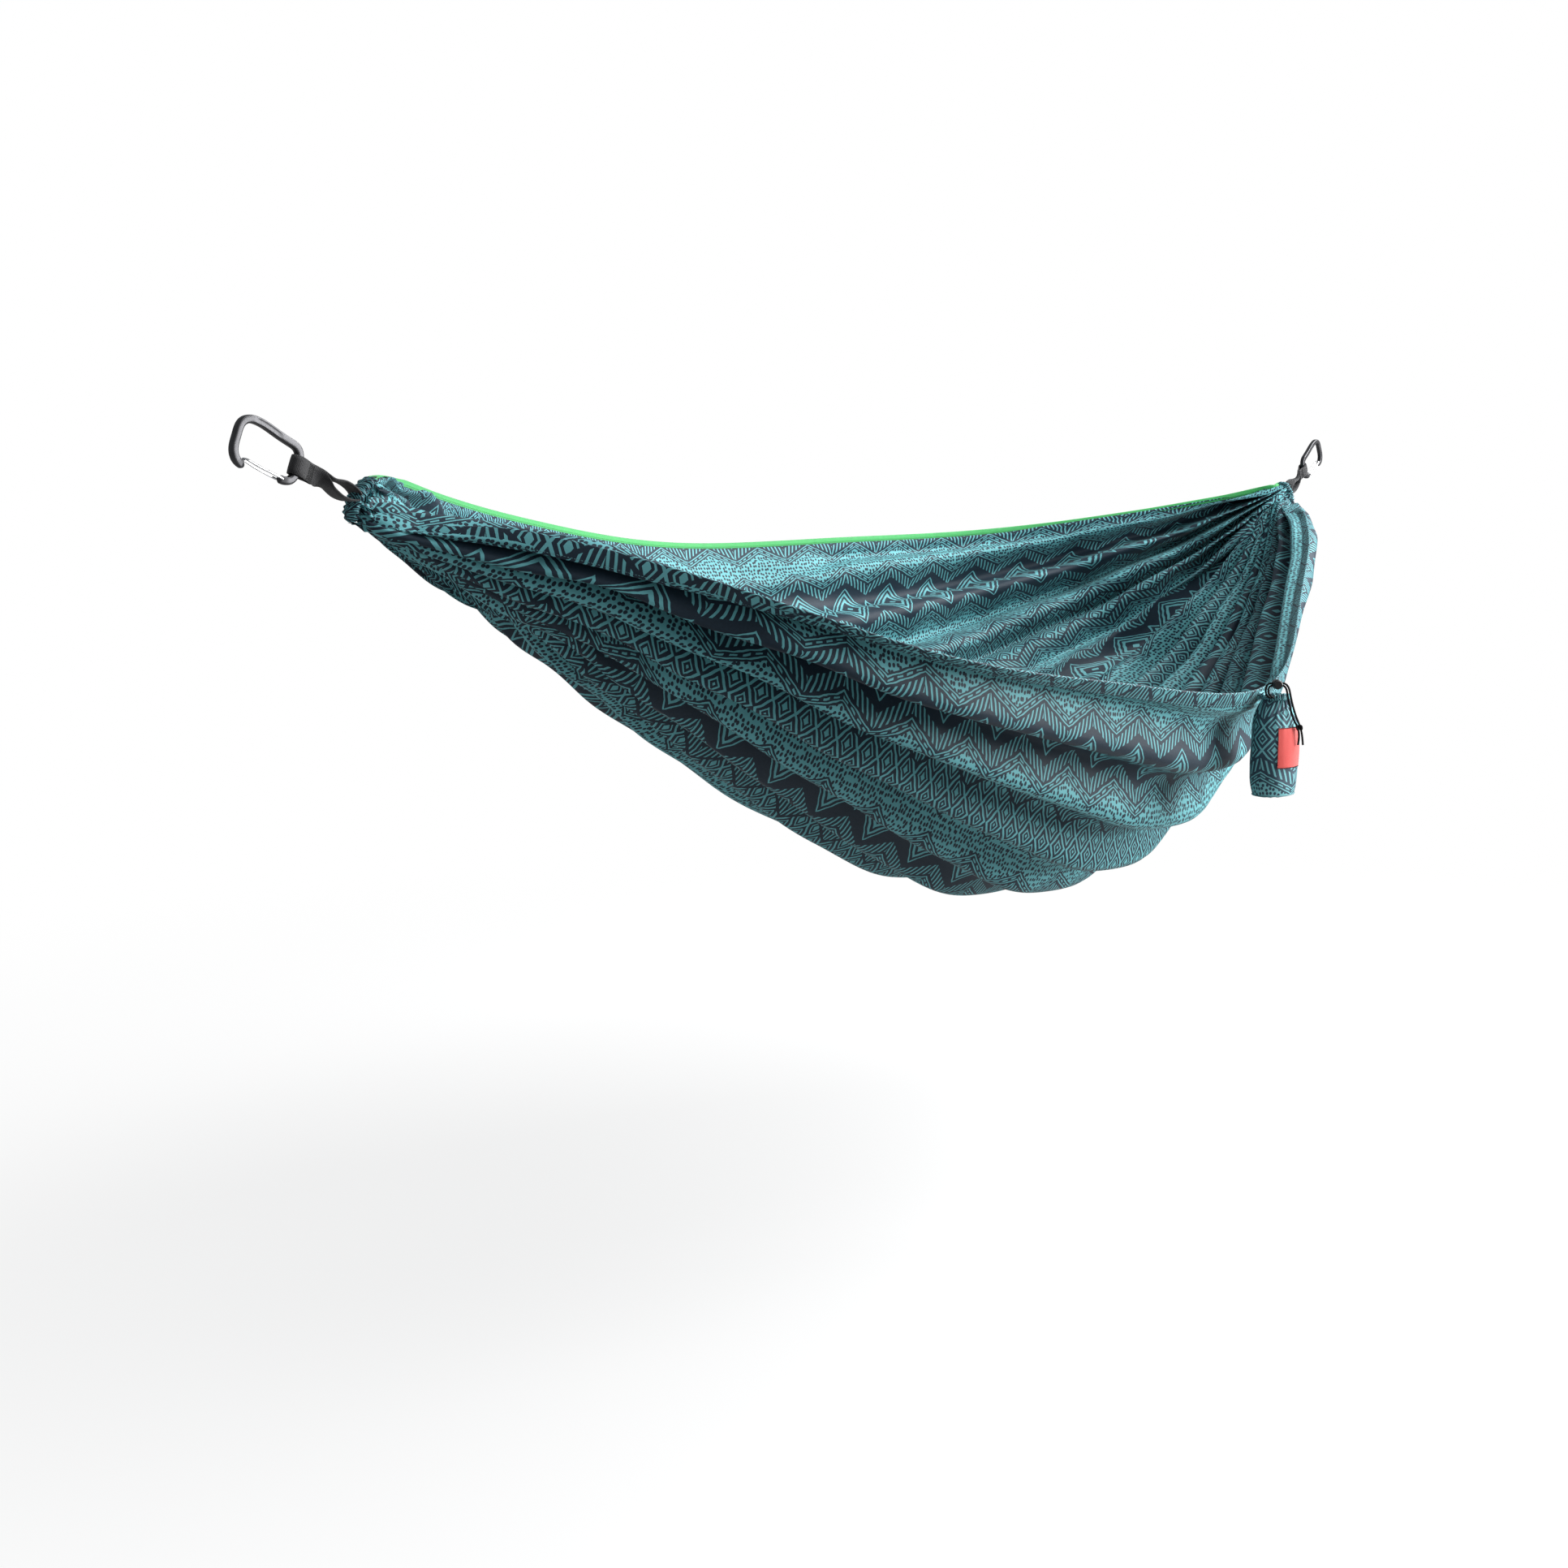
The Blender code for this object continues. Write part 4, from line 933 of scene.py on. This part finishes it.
def hem_piece():
    """The near hem's roll. It narrows towards both gathers."""
    edge, into, normal, along = edge_frame("near")
    taper = np.minimum(np.arange(ROWS), np.arange(ROWS)[::-1]) / (0.05 * ROWS)
    widths = HEM_NARROW + (HEM_WIDTH - HEM_NARROW) * np.clip(taper, 0.0, 1.0)
    vertices, faces = tube_mesh(folded_rings(edge, into, normal, widths, 0.0011, 1.6))
    u = np.repeat(np.linspace(0.0, FLAT_LENGTH, ROWS), 12)
    across = np.array([0.010 * k / 5.0 for k in range(6)] + [0.020 + 0.010 * k / 5.0 for k in range(6)])
    uv = np.stack([u, 0.118 + np.tile(across, ROWS)], axis=-1)
    made = mesh_piece("rolled_near_hem", vertices, faces, CLOTH, "hammock", uv)
    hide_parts("near_hem")
    seats = seam_seats(edge, into, normal, along, widths[:, None] - 0.0022, 0.05, 0.0040)
    return made, stitches("near_hem_stitching", seats, TEAL_THREAD, "hammock")


def tape_piece():
    """Green tape folded over the far edge. Its tail runs on past the right gather."""
    edge, into, normal, _ = edge_frame("far")
    first = edge[0] + np.array(((-0.0120, 0.0, -0.0040), (-0.0090, 0.0, 0.0015), (-0.0045, 0.0, 0.0032)))
    last = np.array([edge[-1] + np.array((0.0055, 0.0, 0.0012)) * k for k in (1, 2, 3)])
    edge = np.concatenate([first, edge, last])
    into = np.concatenate([np.repeat(into[:1], 3, axis=0), into, np.repeat(into[-1:], 3, axis=0)])
    normal = np.concatenate([np.repeat(normal[:1], 3, axis=0), normal, np.repeat(normal[-1:], 3, axis=0)])
    count = len(edge)
    widths = np.full(count, TAPE_WIDTH)
    vertices, faces = tube_mesh(folded_rings(edge, into, normal, widths, 0.0009, 1.5, setback=-0.0012, squeeze=0.6))
    across = np.linspace(0.0, 2.0 * TAPE_WIDTH, 12)
    uv = np.stack([np.repeat(run_lengths(edge), 12), np.tile(across, count)], axis=-1)
    made = mesh_piece("green_edge_binding", vertices, faces, GREEN, "hammock", uv)
    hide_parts("far_hem_binding")
    way = np.gradient(edge, axis=0)
    seats = seam_seats(edge, into, normal, way, TAPE_WIDTH - 0.0018, 0.03, 0.0042)
    return made, stitches("binding_stitching", seats, GREEN_THREAD, "hammock")


# ---- webbing loops, gathered ends and carabiners


def loop_height(u):
    """Half height of the strap's loop at a distance u from the clip bar."""
    wrap_u = ROD_IN_PLANE + WRAP_ROOM
    wrap_q = ROD_HALF_THICK + WRAP_SIDE_ROOM
    if u <= 0.0:
        return wrap_q * math.sqrt(max(0.0, 1.0 - (u / wrap_u) ** 2))
    if u < EYE_START:
        closing = smoothstep(u / 0.020)
        opening = smoothstep((u - 0.034) / (EYE_START - 0.034))
        return wrap_q + (PINCH - wrap_q) * closing + (EYE_HALF - PINCH) * opening
    return EYE_HALF * math.sqrt(max(0.0, 1.0 - ((u - EYE_START) / EYE_LENGTH) ** 2))


def twisted(line, u, q, across):
    """A point of the loop, which turns a quarter turn about its line between the bar and the eye."""
    angle = 0.5 * math.pi * smoothstep((u - TWIST_START) / (TWIST_END - TWIST_START))
    v = q * math.cos(angle) + across * math.sin(angle)
    w = q * math.sin(angle) - across * math.cos(angle)
    return line.at(CLIP_FROM_HANG + u, w, v)


def webbing_piece(side, line):
    """The strap's closed loop, wrapped round the carabiner's narrow end and turned a quarter turn to its eye."""
    wrap_u = ROD_IN_PLANE + WRAP_ROOM
    upper = [-wrap_u * math.cos(math.radians(a)) for a in range(0, 90, 6)]
    upper += [EYE_START * k / 40.0 for k in range(40)]
    upper += [EYE_START + EYE_LENGTH * math.sin(math.radians(a)) for a in range(0, 91, 6)]
    path = [(u, loop_height(u)) for u in upper]
    path += [(u, -q) for u, q in reversed(path[1:-1])]
    path = np.array(path)
    ahead = np.roll(path, -1, axis=0) - np.roll(path, 1, axis=0)
    ahead /= np.linalg.norm(ahead, axis=1)[:, None]
    outline = []
    half = 0.5 * WEB_THICK
    edge = 0.5 * WEB_WIDTH
    for a, b in STRAP_OUTLINE:
        round_off = 0.72 if abs(b) == 1 else 1.0
        outline.append((half * a * round_off, edge * b))
    rings = []
    for (u, q), (tu, tq) in zip(path, ahead):
        rings.append([twisted(line, u - tq * a, q + tu * a, b) for a, b in outline])
    rings = np.array(rings)
    count = len(rings)
    vertices = rings.reshape(-1, 3)
    faces = outward(vertices, grid_faces(count, 12, wrap_rows=True, wrap_columns=True))
    run = run_lengths(path)
    uv = np.stack([np.repeat(run, 12), np.tile([b + 0.02 * (a > 0) for a, b in outline], count)], axis=-1)
    made = mesh_piece(side + "_strap_loop", vertices, faces, WEBBING, uv=uv)
    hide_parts(side + "_webbing_loop")
    seats = []
    for row in range(9):
        u = 0.0125 + 0.0010 * row
        for k in range(10):
            b = edge * (-0.84 + 1.68 * (k + 0.5) / 10.0)
            for q in (loop_height(u) + half + 0.0001, -(loop_height(u) + half + 0.0001)):
                middle = twisted(line, u, q, b)
                beside = twisted(line, u + 0.0006, q, b + 0.0011 * (1 if row % 2 else -1))
                above = twisted(line, u, 1.5 * q, b)
                seats.append((middle, beside - middle, above - middle))
    tack = stitches(side + "_bartack", seats, DARK_THREAD, None, radius=0.00022, length=0.0018)
    return made, tack


def blend_strap(side, line, made, tack):
    root = "left_carabiner" if side == "left" else "right_carabiner"
    start = line.at(CLIP_FROM_HANG + 0.022, 0.0, 0.0)
    end = line.at(CLIP_FROM_HANG + 0.060, 0.0, 0.0)
    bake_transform(made)
    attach(tack, root)


def gather_piece(side, line):
    """The cloth's end sleeve, its pleats packed tight over the end of the strap's loop."""
    steps = BUNDLE_PLEATS * 10
    around = 32
    rings = []
    flat = []
    for k in range(steps + 1):
        share = k / steps
        u, q = bundle_line(share)
        ahead = np.subtract(bundle_line(share + 0.01), bundle_line(share - 0.01))
        ahead = ahead / np.hypot(*ahead)
        normal = (-ahead[1], ahead[0])
        wave = 0.5 - 0.5 * math.cos(2.0 * math.pi * BUNDLE_PLEATS * share + 1.1 * math.sin(9.0 * share))
        end = math.sqrt(max(0.0, 1.0 - abs(2.0 * share - 1.0) ** 6))
        swell = (0.80 + 0.17 * wave + 0.05 * math.sin(17.0 * share)) * (0.45 + 0.55 * end)
        ring = []
        for n in range(around):
            turn = 2.0 * math.pi * n / around
            c = math.cos(turn)
            d = math.sin(turn)
            crease = 1.0 + 0.07 * math.sin(3.0 * turn + 11.0 * share) + 0.04 * math.sin(7.0 * turn + 40.0 * share)
            a = BUNDLE_DEEP * swell * crease * squarer(c, 0.8)
            b = BUNDLE_WIDE * swell * crease * squarer(d, 0.9)
            ring.append(line.at(u + normal[0] * a, q + normal[1] * a, b))
            flat.append((0.20 * share, 0.060 * n / around))
        rings.append(ring)
    vertices, faces = tube_mesh(rings)
    made = mesh_piece(side + "_gathered_sleeve", vertices, faces, CLOTH, "hammock", flat)
    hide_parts(side + "_end_channel")


def carabiner_route():
    return (
        (0.0150, -0.0266), (0.0085, -0.0262), (0.0020, -0.0232), (-0.0030, -0.0165),
        (-0.0046, -0.0070), (-0.0046, 0.0000), (-0.0046, 0.0070),
        (-0.0022, 0.0155), (0.0045, 0.0212), (0.0140, 0.0236), (0.0400, 0.0222), (0.0630, 0.0200),
        (0.0754, 0.0172), (0.0804, 0.0100), (0.0810, 0.0000), (0.0804, -0.0105),
        (0.0758, -0.0180), (0.0685, -0.0210), (0.0600, -0.0214),
    )


def carabiner_piece(side, line):
    """Forged rod with rounded edges, a shallow flute along each face of the spine and a rounded nose."""
    route = np.array(carabiner_route())
    lengths = run_lengths(route)
    count = 220
    path = smooth_through(lengths, route, np.linspace(0.0, lengths[-1], count))
    tangent = np.gradient(path, axis=0)
    tangent /= np.linalg.norm(tangent, axis=1)[:, None]
    around = 40
    rings = []
    for i, (centre, t) in enumerate(zip(path, tangent)):
        across = (-t[1], t[0])
        end = min(i, count - 1 - i)
        taper = 0.62 + 0.38 * smoothstep(end / 16.0)
        tip = math.sqrt(min(1.0, (end + 0.35) / 5.0)) if end < 5 else 1.0
        spine = smoothstep((i - 78) / 10.0) * smoothstep((128 - i) / 10.0)
        ring = []
        for n in range(around):
            turn = 2.0 * math.pi * (n + 0.5) / around
            c = math.cos(turn)
            d = math.sin(turn)
            a = ROD_IN_PLANE * tip * squarer(c, 0.52)
            b = ROD_HALF_THICK * taper * tip * squarer(d, 0.52)
            flute = 0.0007 * spine * max(0.0, 1.0 - (a / (0.62 * ROD_IN_PLANE)) ** 2) * (abs(d) > 0.7)
            b -= math.copysign(flute, b)
            ring.append(line.at(centre[0] + across[0] * a, centre[1] + across[1] * a, b))
        rings.append(ring)
    vertices, faces = tube_mesh(rings)
    made = mesh_piece(side + "_carabiner_rod", vertices, faces, ANODISED, side + "_carabiner", sharp=50.0)
    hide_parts(side + "_carabiner_body")


# ---- stuff sack


def mouth_centre():
    share = (SACK_X - CLOTH_START.x) / CLOTH_SPAN
    hem = -float(smooth_through(STATIONS, NEAR_OUT, share))
    return Vector((SACK_X, hem - 0.0040 - MOUTH_OUTER, SACK_Z))


MOUTH = mouth_centre()


def sack_radii(z):
    profile = sorted(SACK_PROFILE)
    heights = [row[0] for row in profile]
    half_x = float(smooth_through(heights, [row[1] for row in profile], z))
    half_y = float(smooth_through(heights, [row[2] for row in profile], z))
    return half_x, half_y


def mouth_point(across, outward_by, up):
    return MOUTH + ACROSS * across + OUTWARD * outward_by + Vector((0.0, 0.0, up))


def sack_wall(turn, z):
    """Point of the slack wall: gathers under the mouth die out down the bag, and soft creases sag over its base."""
    half_x, half_y = sack_radii(z)
    down = (z - SACK_TOP) / (SACK_BOTTOM - SACK_TOP)
    gather = 0.075 * math.exp(-down / 0.11) * math.sin(19.0 * turn + 1.3 * math.sin(3.0 * turn))
    slump = 0.022 * math.sin(3.0 * turn + 9.0 * down + 0.7) * math.sin(math.pi * min(1.0, 1.15 * down))
    crease = 0.014 * math.sin(7.0 * turn - 16.0 * down) * math.exp(-((down - 0.86) / 0.12) ** 2)
    swell = 1.0 + gather + slump + crease
    return MOUTH + Vector((half_x * swell * math.cos(turn), half_y * swell * math.sin(turn), z))


def sack_wall_piece():
    points = []
    flat = []
    for i in range(SACK_LEVELS):
        z = SACK_TOP + (SACK_BOTTOM - SACK_TOP) * i / (SACK_LEVELS - 1.0)
        for k in range(SACK_AROUND + 1):
            points.append(sack_wall(2.0 * math.pi * k / SACK_AROUND, z))
            flat.append((SACK_GIRTH * k / SACK_AROUND, z - SACK_BOTTOM + 0.010))
    faces = grid_faces(SACK_LEVELS, SACK_AROUND + 1)
    wall = mesh_piece("sack_wall", points, faces, SACK_CLOTH_PAINTED_LIGHTER, "stuff_sack", flat)
    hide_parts("sack_body")


def sack_base_pieces():
    """Puckered base disc, and the welted seam round it."""
    points = []
    flat = []
    rings = 12
    for i in range(rings + 1):
        share = 1.0 - i / rings
        for k in range(SACK_AROUND + 1):
            turn = 2.0 * math.pi * k / SACK_AROUND
            rim = sack_wall(turn, SACK_BOTTOM) - MOUTH
            sag = 0.0033 * (1.0 - share ** 2) + 0.0007 * math.sin(11.0 * turn) * share * (1.0 - share) * 4.0
            points.append(MOUTH + Vector((rim.x * share, rim.y * share, SACK_BOTTOM - sag)))
            flat.append((0.02 + rim.x * share, 0.05 + rim.y * share))
    faces = grid_faces(rings + 1, SACK_AROUND + 1)
    base = mesh_piece("sack_base_disc", points, faces, SACK_CLOTH_PAINTED_LIGHTER, "stuff_sack", flat)
    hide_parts("sack_base")
    points = [sack_wall(2.0 * math.pi * k / 120, SACK_BOTTOM + 0.0012) for k in range(120)]
    curve_piece("sack_base_welt", points, 0.0011, TEAL_THREAD, "stuff_sack", closed=True)


def sack_mouth_piece():
    """Ruffled channel round the mouth."""
    steps = RUFFLES * 12
    section = 14
    rows = []
    flat = []
    for k in range(steps + 1):
        turn = 2.0 * math.pi * k / steps
        wave = math.sin(RUFFLES * turn + 0.6 * math.sin(2.0 * turn))
        peak = math.sin(2.0 * turn - 0.6)
        for n in range(section):
            angle = 2.0 * math.pi * n / section
            rise = 0.0044 * math.sin(angle) + 0.0008 * wave + 0.0012 * peak * (math.sin(angle) > 0.0)
            reach = RUFFLE_RADIUS + 0.0030 * math.cos(angle) + 0.0010 * wave * (0.6 + 0.4 * math.sin(angle))
            rows.append(MOUTH + Vector((reach * math.cos(turn), reach * math.sin(turn), rise)))
            flat.append((SACK_GIRTH * turn / (2.0 * math.pi), 0.016 * n / section))
    faces = grid_faces(steps + 1, section, wrap_columns=True)
    ruffle = mesh_piece("sack_mouth_ruffle", rows, faces, SACK_CLOTH_PAINTED_LIGHTER, "stuff_sack", flat)
    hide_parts("sack_mouth_channel", "sack_drawcord")


def label_turn(share):
    """Angle round the sack, from one side of the label (-1) to the other (1)."""
    return LABEL_CENTRE + LABEL_HALF_ARC * share


def label_patch():
    """Plain square patch, with its own thickness, laid on the sack's wall."""
    columns = 28
    rows = 24
    layers = []
    flat = []
    for offset in (0.0006, 0.0016):
        for i in range(rows):
            z = LABEL_TOP + (LABEL_BOTTOM - LABEL_TOP) * i / (rows - 1)
            for k in range(columns):
                turn = label_turn(2.0 * k / (columns - 1) - 1.0)
                layers.append(sack_wall(turn, z) + radial(turn) * offset)
                flat.append((LABEL_WIDE * k / (columns - 1), LABEL_TALL * i / (rows - 1)))
    count = rows * columns
    faces = grid_faces(rows, columns)
    faces += [tuple(count + n for n in f) for f in faces]
    rim = list(range(columns))
    rim += [i * columns + columns - 1 for i in range(1, rows)]
    rim += [(rows - 1) * columns + k for k in range(columns - 2, -1, -1)]
    rim += [i * columns for i in range(rows - 2, 0, -1)]
    faces += [(a, b, b + count, a + count) for a, b in zip(rim, rim[1:] + rim[:1])]
    patch = mesh_piece("red_label_patch", layers, outward(layers, faces), RED, "stuff_sack", flat, sharp=60.0)
    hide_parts("sack_label")


def label_edge():
    """Overlock stitches round the patch."""
    count = 34
    inset = 0.985
    seats = []
    for k in range(count):
        turn = LABEL_CENTRE + LABEL_HALF_ARC * (2.0 * (k + 0.5) / count - 1.0) * inset
        for z in (LABEL_TOP - 0.0004, LABEL_BOTTOM + 0.0004):
            out = radial(turn)
            seats.append((sack_wall(turn, z) + out * 0.0017, Vector((0.0002, 0.0, 1.0)), out))
    for i in range(count):
        z = LABEL_TOP + (LABEL_BOTTOM - LABEL_TOP) * (i + 0.5) / count
        for sign in (-1.0, 1.0):
            turn = label_turn(sign * inset)
            out = radial(turn)
            seats.append((sack_wall(turn, z) + out * 0.0017, Vector((-out.y, out.x, 0.05)), out))
    stitches("label_overlock", seats, DARK_THREAD, "stuff_sack", radius=0.00024, length=0.0016)


def tail_points(route, count=40):
    route = np.array(route)
    lengths = run_lengths(route)
    path = smooth_through(lengths, route, np.linspace(0.0, lengths[-1], count))
    return [mouth_point(*p) for p in path]


def drawcord_pieces():
    """Two limp tails that hang from the cord lock, through one overhand knot, to bare sealed ends."""
    centre = mouth_point(*KNOT_CENTRE)
    points = []
    for k in range(72):
        t = 2.0 * math.pi * k / 72
        a = 0.0016 * (math.sin(t) + 1.35 * math.sin(2.0 * t))
        b = 0.0013 * (math.cos(t) - 1.35 * math.cos(2.0 * t))
        c = -0.0030 * math.sin(3.0 * t)
        points.append(centre + ACROSS * a * 1.15 + OUTWARD * b * 1.15 + Vector((0.0, 0.0, c)))
    knot = curve_piece("overhand_knot", points, 0.0014, CORD, "stuff_sack", closed=True)
    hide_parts("drawcord_knot")
    for label, route in (("a", TAIL_A_ROUTE), ("b", TAIL_B_ROUTE)):
        points = tail_points(route)
        cord = curve_piece("cord_tail_" + label, points, CORD_RADIUS, CORD, "stuff_sack")
        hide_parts("drawcord_tail_" + label)


def tab_piece():
    """Short folded loop of the hem's cloth that holds the sack by the back of its mouth."""
    low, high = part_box("sack_hang_tab")
    low = np.array(low)
    high = np.array(high)
    rings = []
    flat = []
    steps = 16
    for k in range(steps + 1):
        share = k / steps
        x = low[0] + (high[0] - low[0]) * share
        pinch = 1.0 - 0.18 * math.sin(math.pi * share)
        middle_y = 0.5 * (low[1] + high[1])
        middle_z = 0.5 * (low[2] + high[2])
        ring = []
        for n in range(14):
            turn = 2.0 * math.pi * n / 14
            y = middle_y + 0.5 * (high[1] - low[1]) * squarer(math.cos(turn), 0.6)
            z = middle_z + 0.5 * (high[2] - low[2]) * pinch * squarer(math.sin(turn), 0.6)
            ring.append((x, y, z))
            flat.append((0.02 * share, 0.03 * n / 14))
        rings.append(ring)
    vertices, faces = tube_mesh(rings)
    # The tab wears the sack's lighter copy of the print, whose extra brightness is painted light.
    made = mesh_piece("sack_hanging_tab", vertices, faces, SACK_CLOTH_PAINTED_LIGHTER, "hammock", flat)
    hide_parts("sack_hang_tab")


# ---- camera, light and floor


def place_camera():
    scene = bpy.context.scene
    scene.view_settings.view_transform = "Standard"
    scene.view_settings.look = "None"
    data = bpy.data.cameras.new("camera")
    data.lens = 50.0
    data.sensor_width = 36.0
    data.clip_end = 100.0
    camera = bpy.data.objects.new("camera", data)
    level = math.cos(CAMERA_PITCH)
    forward = Vector((math.cos(CAMERA_YAW) * level, math.sin(CAMERA_YAW) * level, -math.sin(CAMERA_PITCH)))
    right = Vector((math.sin(CAMERA_YAW), -math.cos(CAMERA_YAW), 0.0))
    up = right.cross(forward)
    turn = Matrix((right, up, -forward)).transposed().to_4x4()
    camera.matrix_world = Matrix.Translation(CAMERA_AT) @ turn
    scene.collection.objects.link(camera)
    scene.camera = camera


def light_world():
    """Plain white to the camera, and a dimmer, cooler fill to everything else."""
    world = bpy.data.worlds.new("studio")
    bpy.context.scene.world = world
    world.use_nodes = True
    tree = world.node_tree
    tree.nodes.clear()
    mix = tree.nodes.new("ShaderNodeMixShader")
    for socket, colour, strength in ((1, (0.93, 0.97, 1.0, 1.0), 0.33), (2, (1.0, 1.0, 1.0, 1.0), 1.0)):
        ground = tree.nodes.new("ShaderNodeBackground")
        ground.inputs["Color"].default_value = colour
        ground.inputs["Strength"].default_value = strength
        tree.links.new(ground.outputs[0], mix.inputs[socket])
    path = tree.nodes.new("ShaderNodeLightPath")
    out = tree.nodes.new("ShaderNodeOutputWorld")
    tree.links.new(path.outputs["Is Camera Ray"], mix.inputs[0])
    tree.links.new(mix.outputs[0], out.inputs["Surface"])


def hang_lamps():
    for name, spot, aim, size, power in LAMPS:
        light = bpy.data.lights.new(name, "AREA")
        light.shape = "SQUARE"
        light.size = size
        light.energy = power
        lamp = bpy.data.objects.new(name, light)
        lamp.location = spot
        lamp.rotation_euler = (Vector(aim) - Vector(spot)).to_track_quat("-Z", "Y").to_euler()
        bpy.context.scene.collection.objects.link(lamp)


def lay_floor():
    """Pale floor that glows white, and lets a faint shadow through under the hammock only."""
    made, tree, shader = new_material("pale_floor", 0.9, specular=0.0)
    s = Sums(tree)
    place = solid_place(tree)
    part = axes(tree, place)
    x = s.sub(part[0], SHADOW_X)
    reach = s.do("SQRT", s.add(s.mul(x, x), s.mul(part[1], part[1])))
    near = tree.nodes.new("ShaderNodeMapRange")
    near.interpolation_type = "SMOOTHSTEP"
    near.inputs["From Min"].default_value = SHADOW_REACH[0]
    near.inputs["From Max"].default_value = SHADOW_REACH[1]
    near.inputs["To Min"].default_value = SHADOW_SHARE
    near.inputs["To Max"].default_value = 0.0
    tree.links.new(reach, near.inputs["Value"])
    paint(tree, shader, mixed(tree, noise(tree, place, 2.0, 2.0), (0.90, 0.90, 0.90), (0.93, 0.93, 0.93)))
    glow = tree.nodes.new("ShaderNodeEmission")
    path = tree.nodes.new("ShaderNodeLightPath")
    tree.links.new(s.scaled(path.outputs["Is Camera Ray"], 0.70, 0.30), glow.inputs["Strength"])
    blend = tree.nodes.new("ShaderNodeMixShader")
    tree.links.new(near.outputs["Result"], blend.inputs[0])
    tree.links.new(glow.outputs[0], blend.inputs[1])
    tree.links.new(shader.outputs[0], blend.inputs[2])
    tree.links.new(blend.outputs[0], tree.nodes["Material Output"].inputs["Surface"])
    corners = [(x * FLOOR_HALF, y * FLOOR_HALF, FLOOR_Z) for x, y in ((-1, -1), (1, -1), (1, 1), (-1, 1))]
    mesh_piece("studio_floor", corners, [(0, 1, 2, 3)], made)


def spring_piece():
    """Coil between the barrel's floor and the plunger."""
    around_turn = 40
    total = SPRING_TURNS * around_turn
    rings = []
    for k in range(total + 1):
        angle = 2.0 * math.pi * k / around_turn
        out = SPRING_BACK + (SPRING_FRONT - SPRING_BACK) * k / total
        ring = []
        for n in range(10):
            turn = 2.0 * math.pi * n / 10
            radius = SPRING_RADIUS + SPRING_WIRE * math.cos(turn)
            ring.append(mouth_point(
                LOCK_CENTRE[0] + radius * math.cos(angle),
                LOCK_CENTRE[1] + out + SPRING_WIRE * math.sin(turn),
                LOCK_CENTRE[2] + radius * math.sin(angle),
            ))
        rings.append(ring)
    vertices, faces = tube_mesh(rings)
    made = mesh_piece("lock_spring_coil", vertices, faces, STEEL, "cord_lock")
    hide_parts("cord_lock_spring")
    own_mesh(made)


def repaint(node, finish):
    """Gives a carried-over CAD node its finished material."""
    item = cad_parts[node]
    for slot in item.material_slots:
        slot.material = finish
    item.data.shade_smooth()
    item.data.set_sharp_from_angle(angle=math.radians(35.0))


place_camera()
light_world()
hang_lamps()
lay_floor()
fabric = cloth_piece()
hem, hem_thread = hem_piece()
tape, tape_thread = tape_piece()
for side, line in (("left", LEFT), ("right", RIGHT)):
    strap, tack = webbing_piece(side, line)
    blend_strap(side, line, strap, tack)
    gather_piece(side, line)
    carabiner_piece(side, line)
    repaint(side + "_carabiner_gate", STEEL)
sack_wall_piece()
sack_base_pieces()
sack_mouth_piece()
label_patch()
label_edge()
drawcord_pieces()
tab_piece()
repaint("cord_lock_barrel", PLASTIC)
repaint("cord_lock_plunger", PLASTIC)
spring_piece()
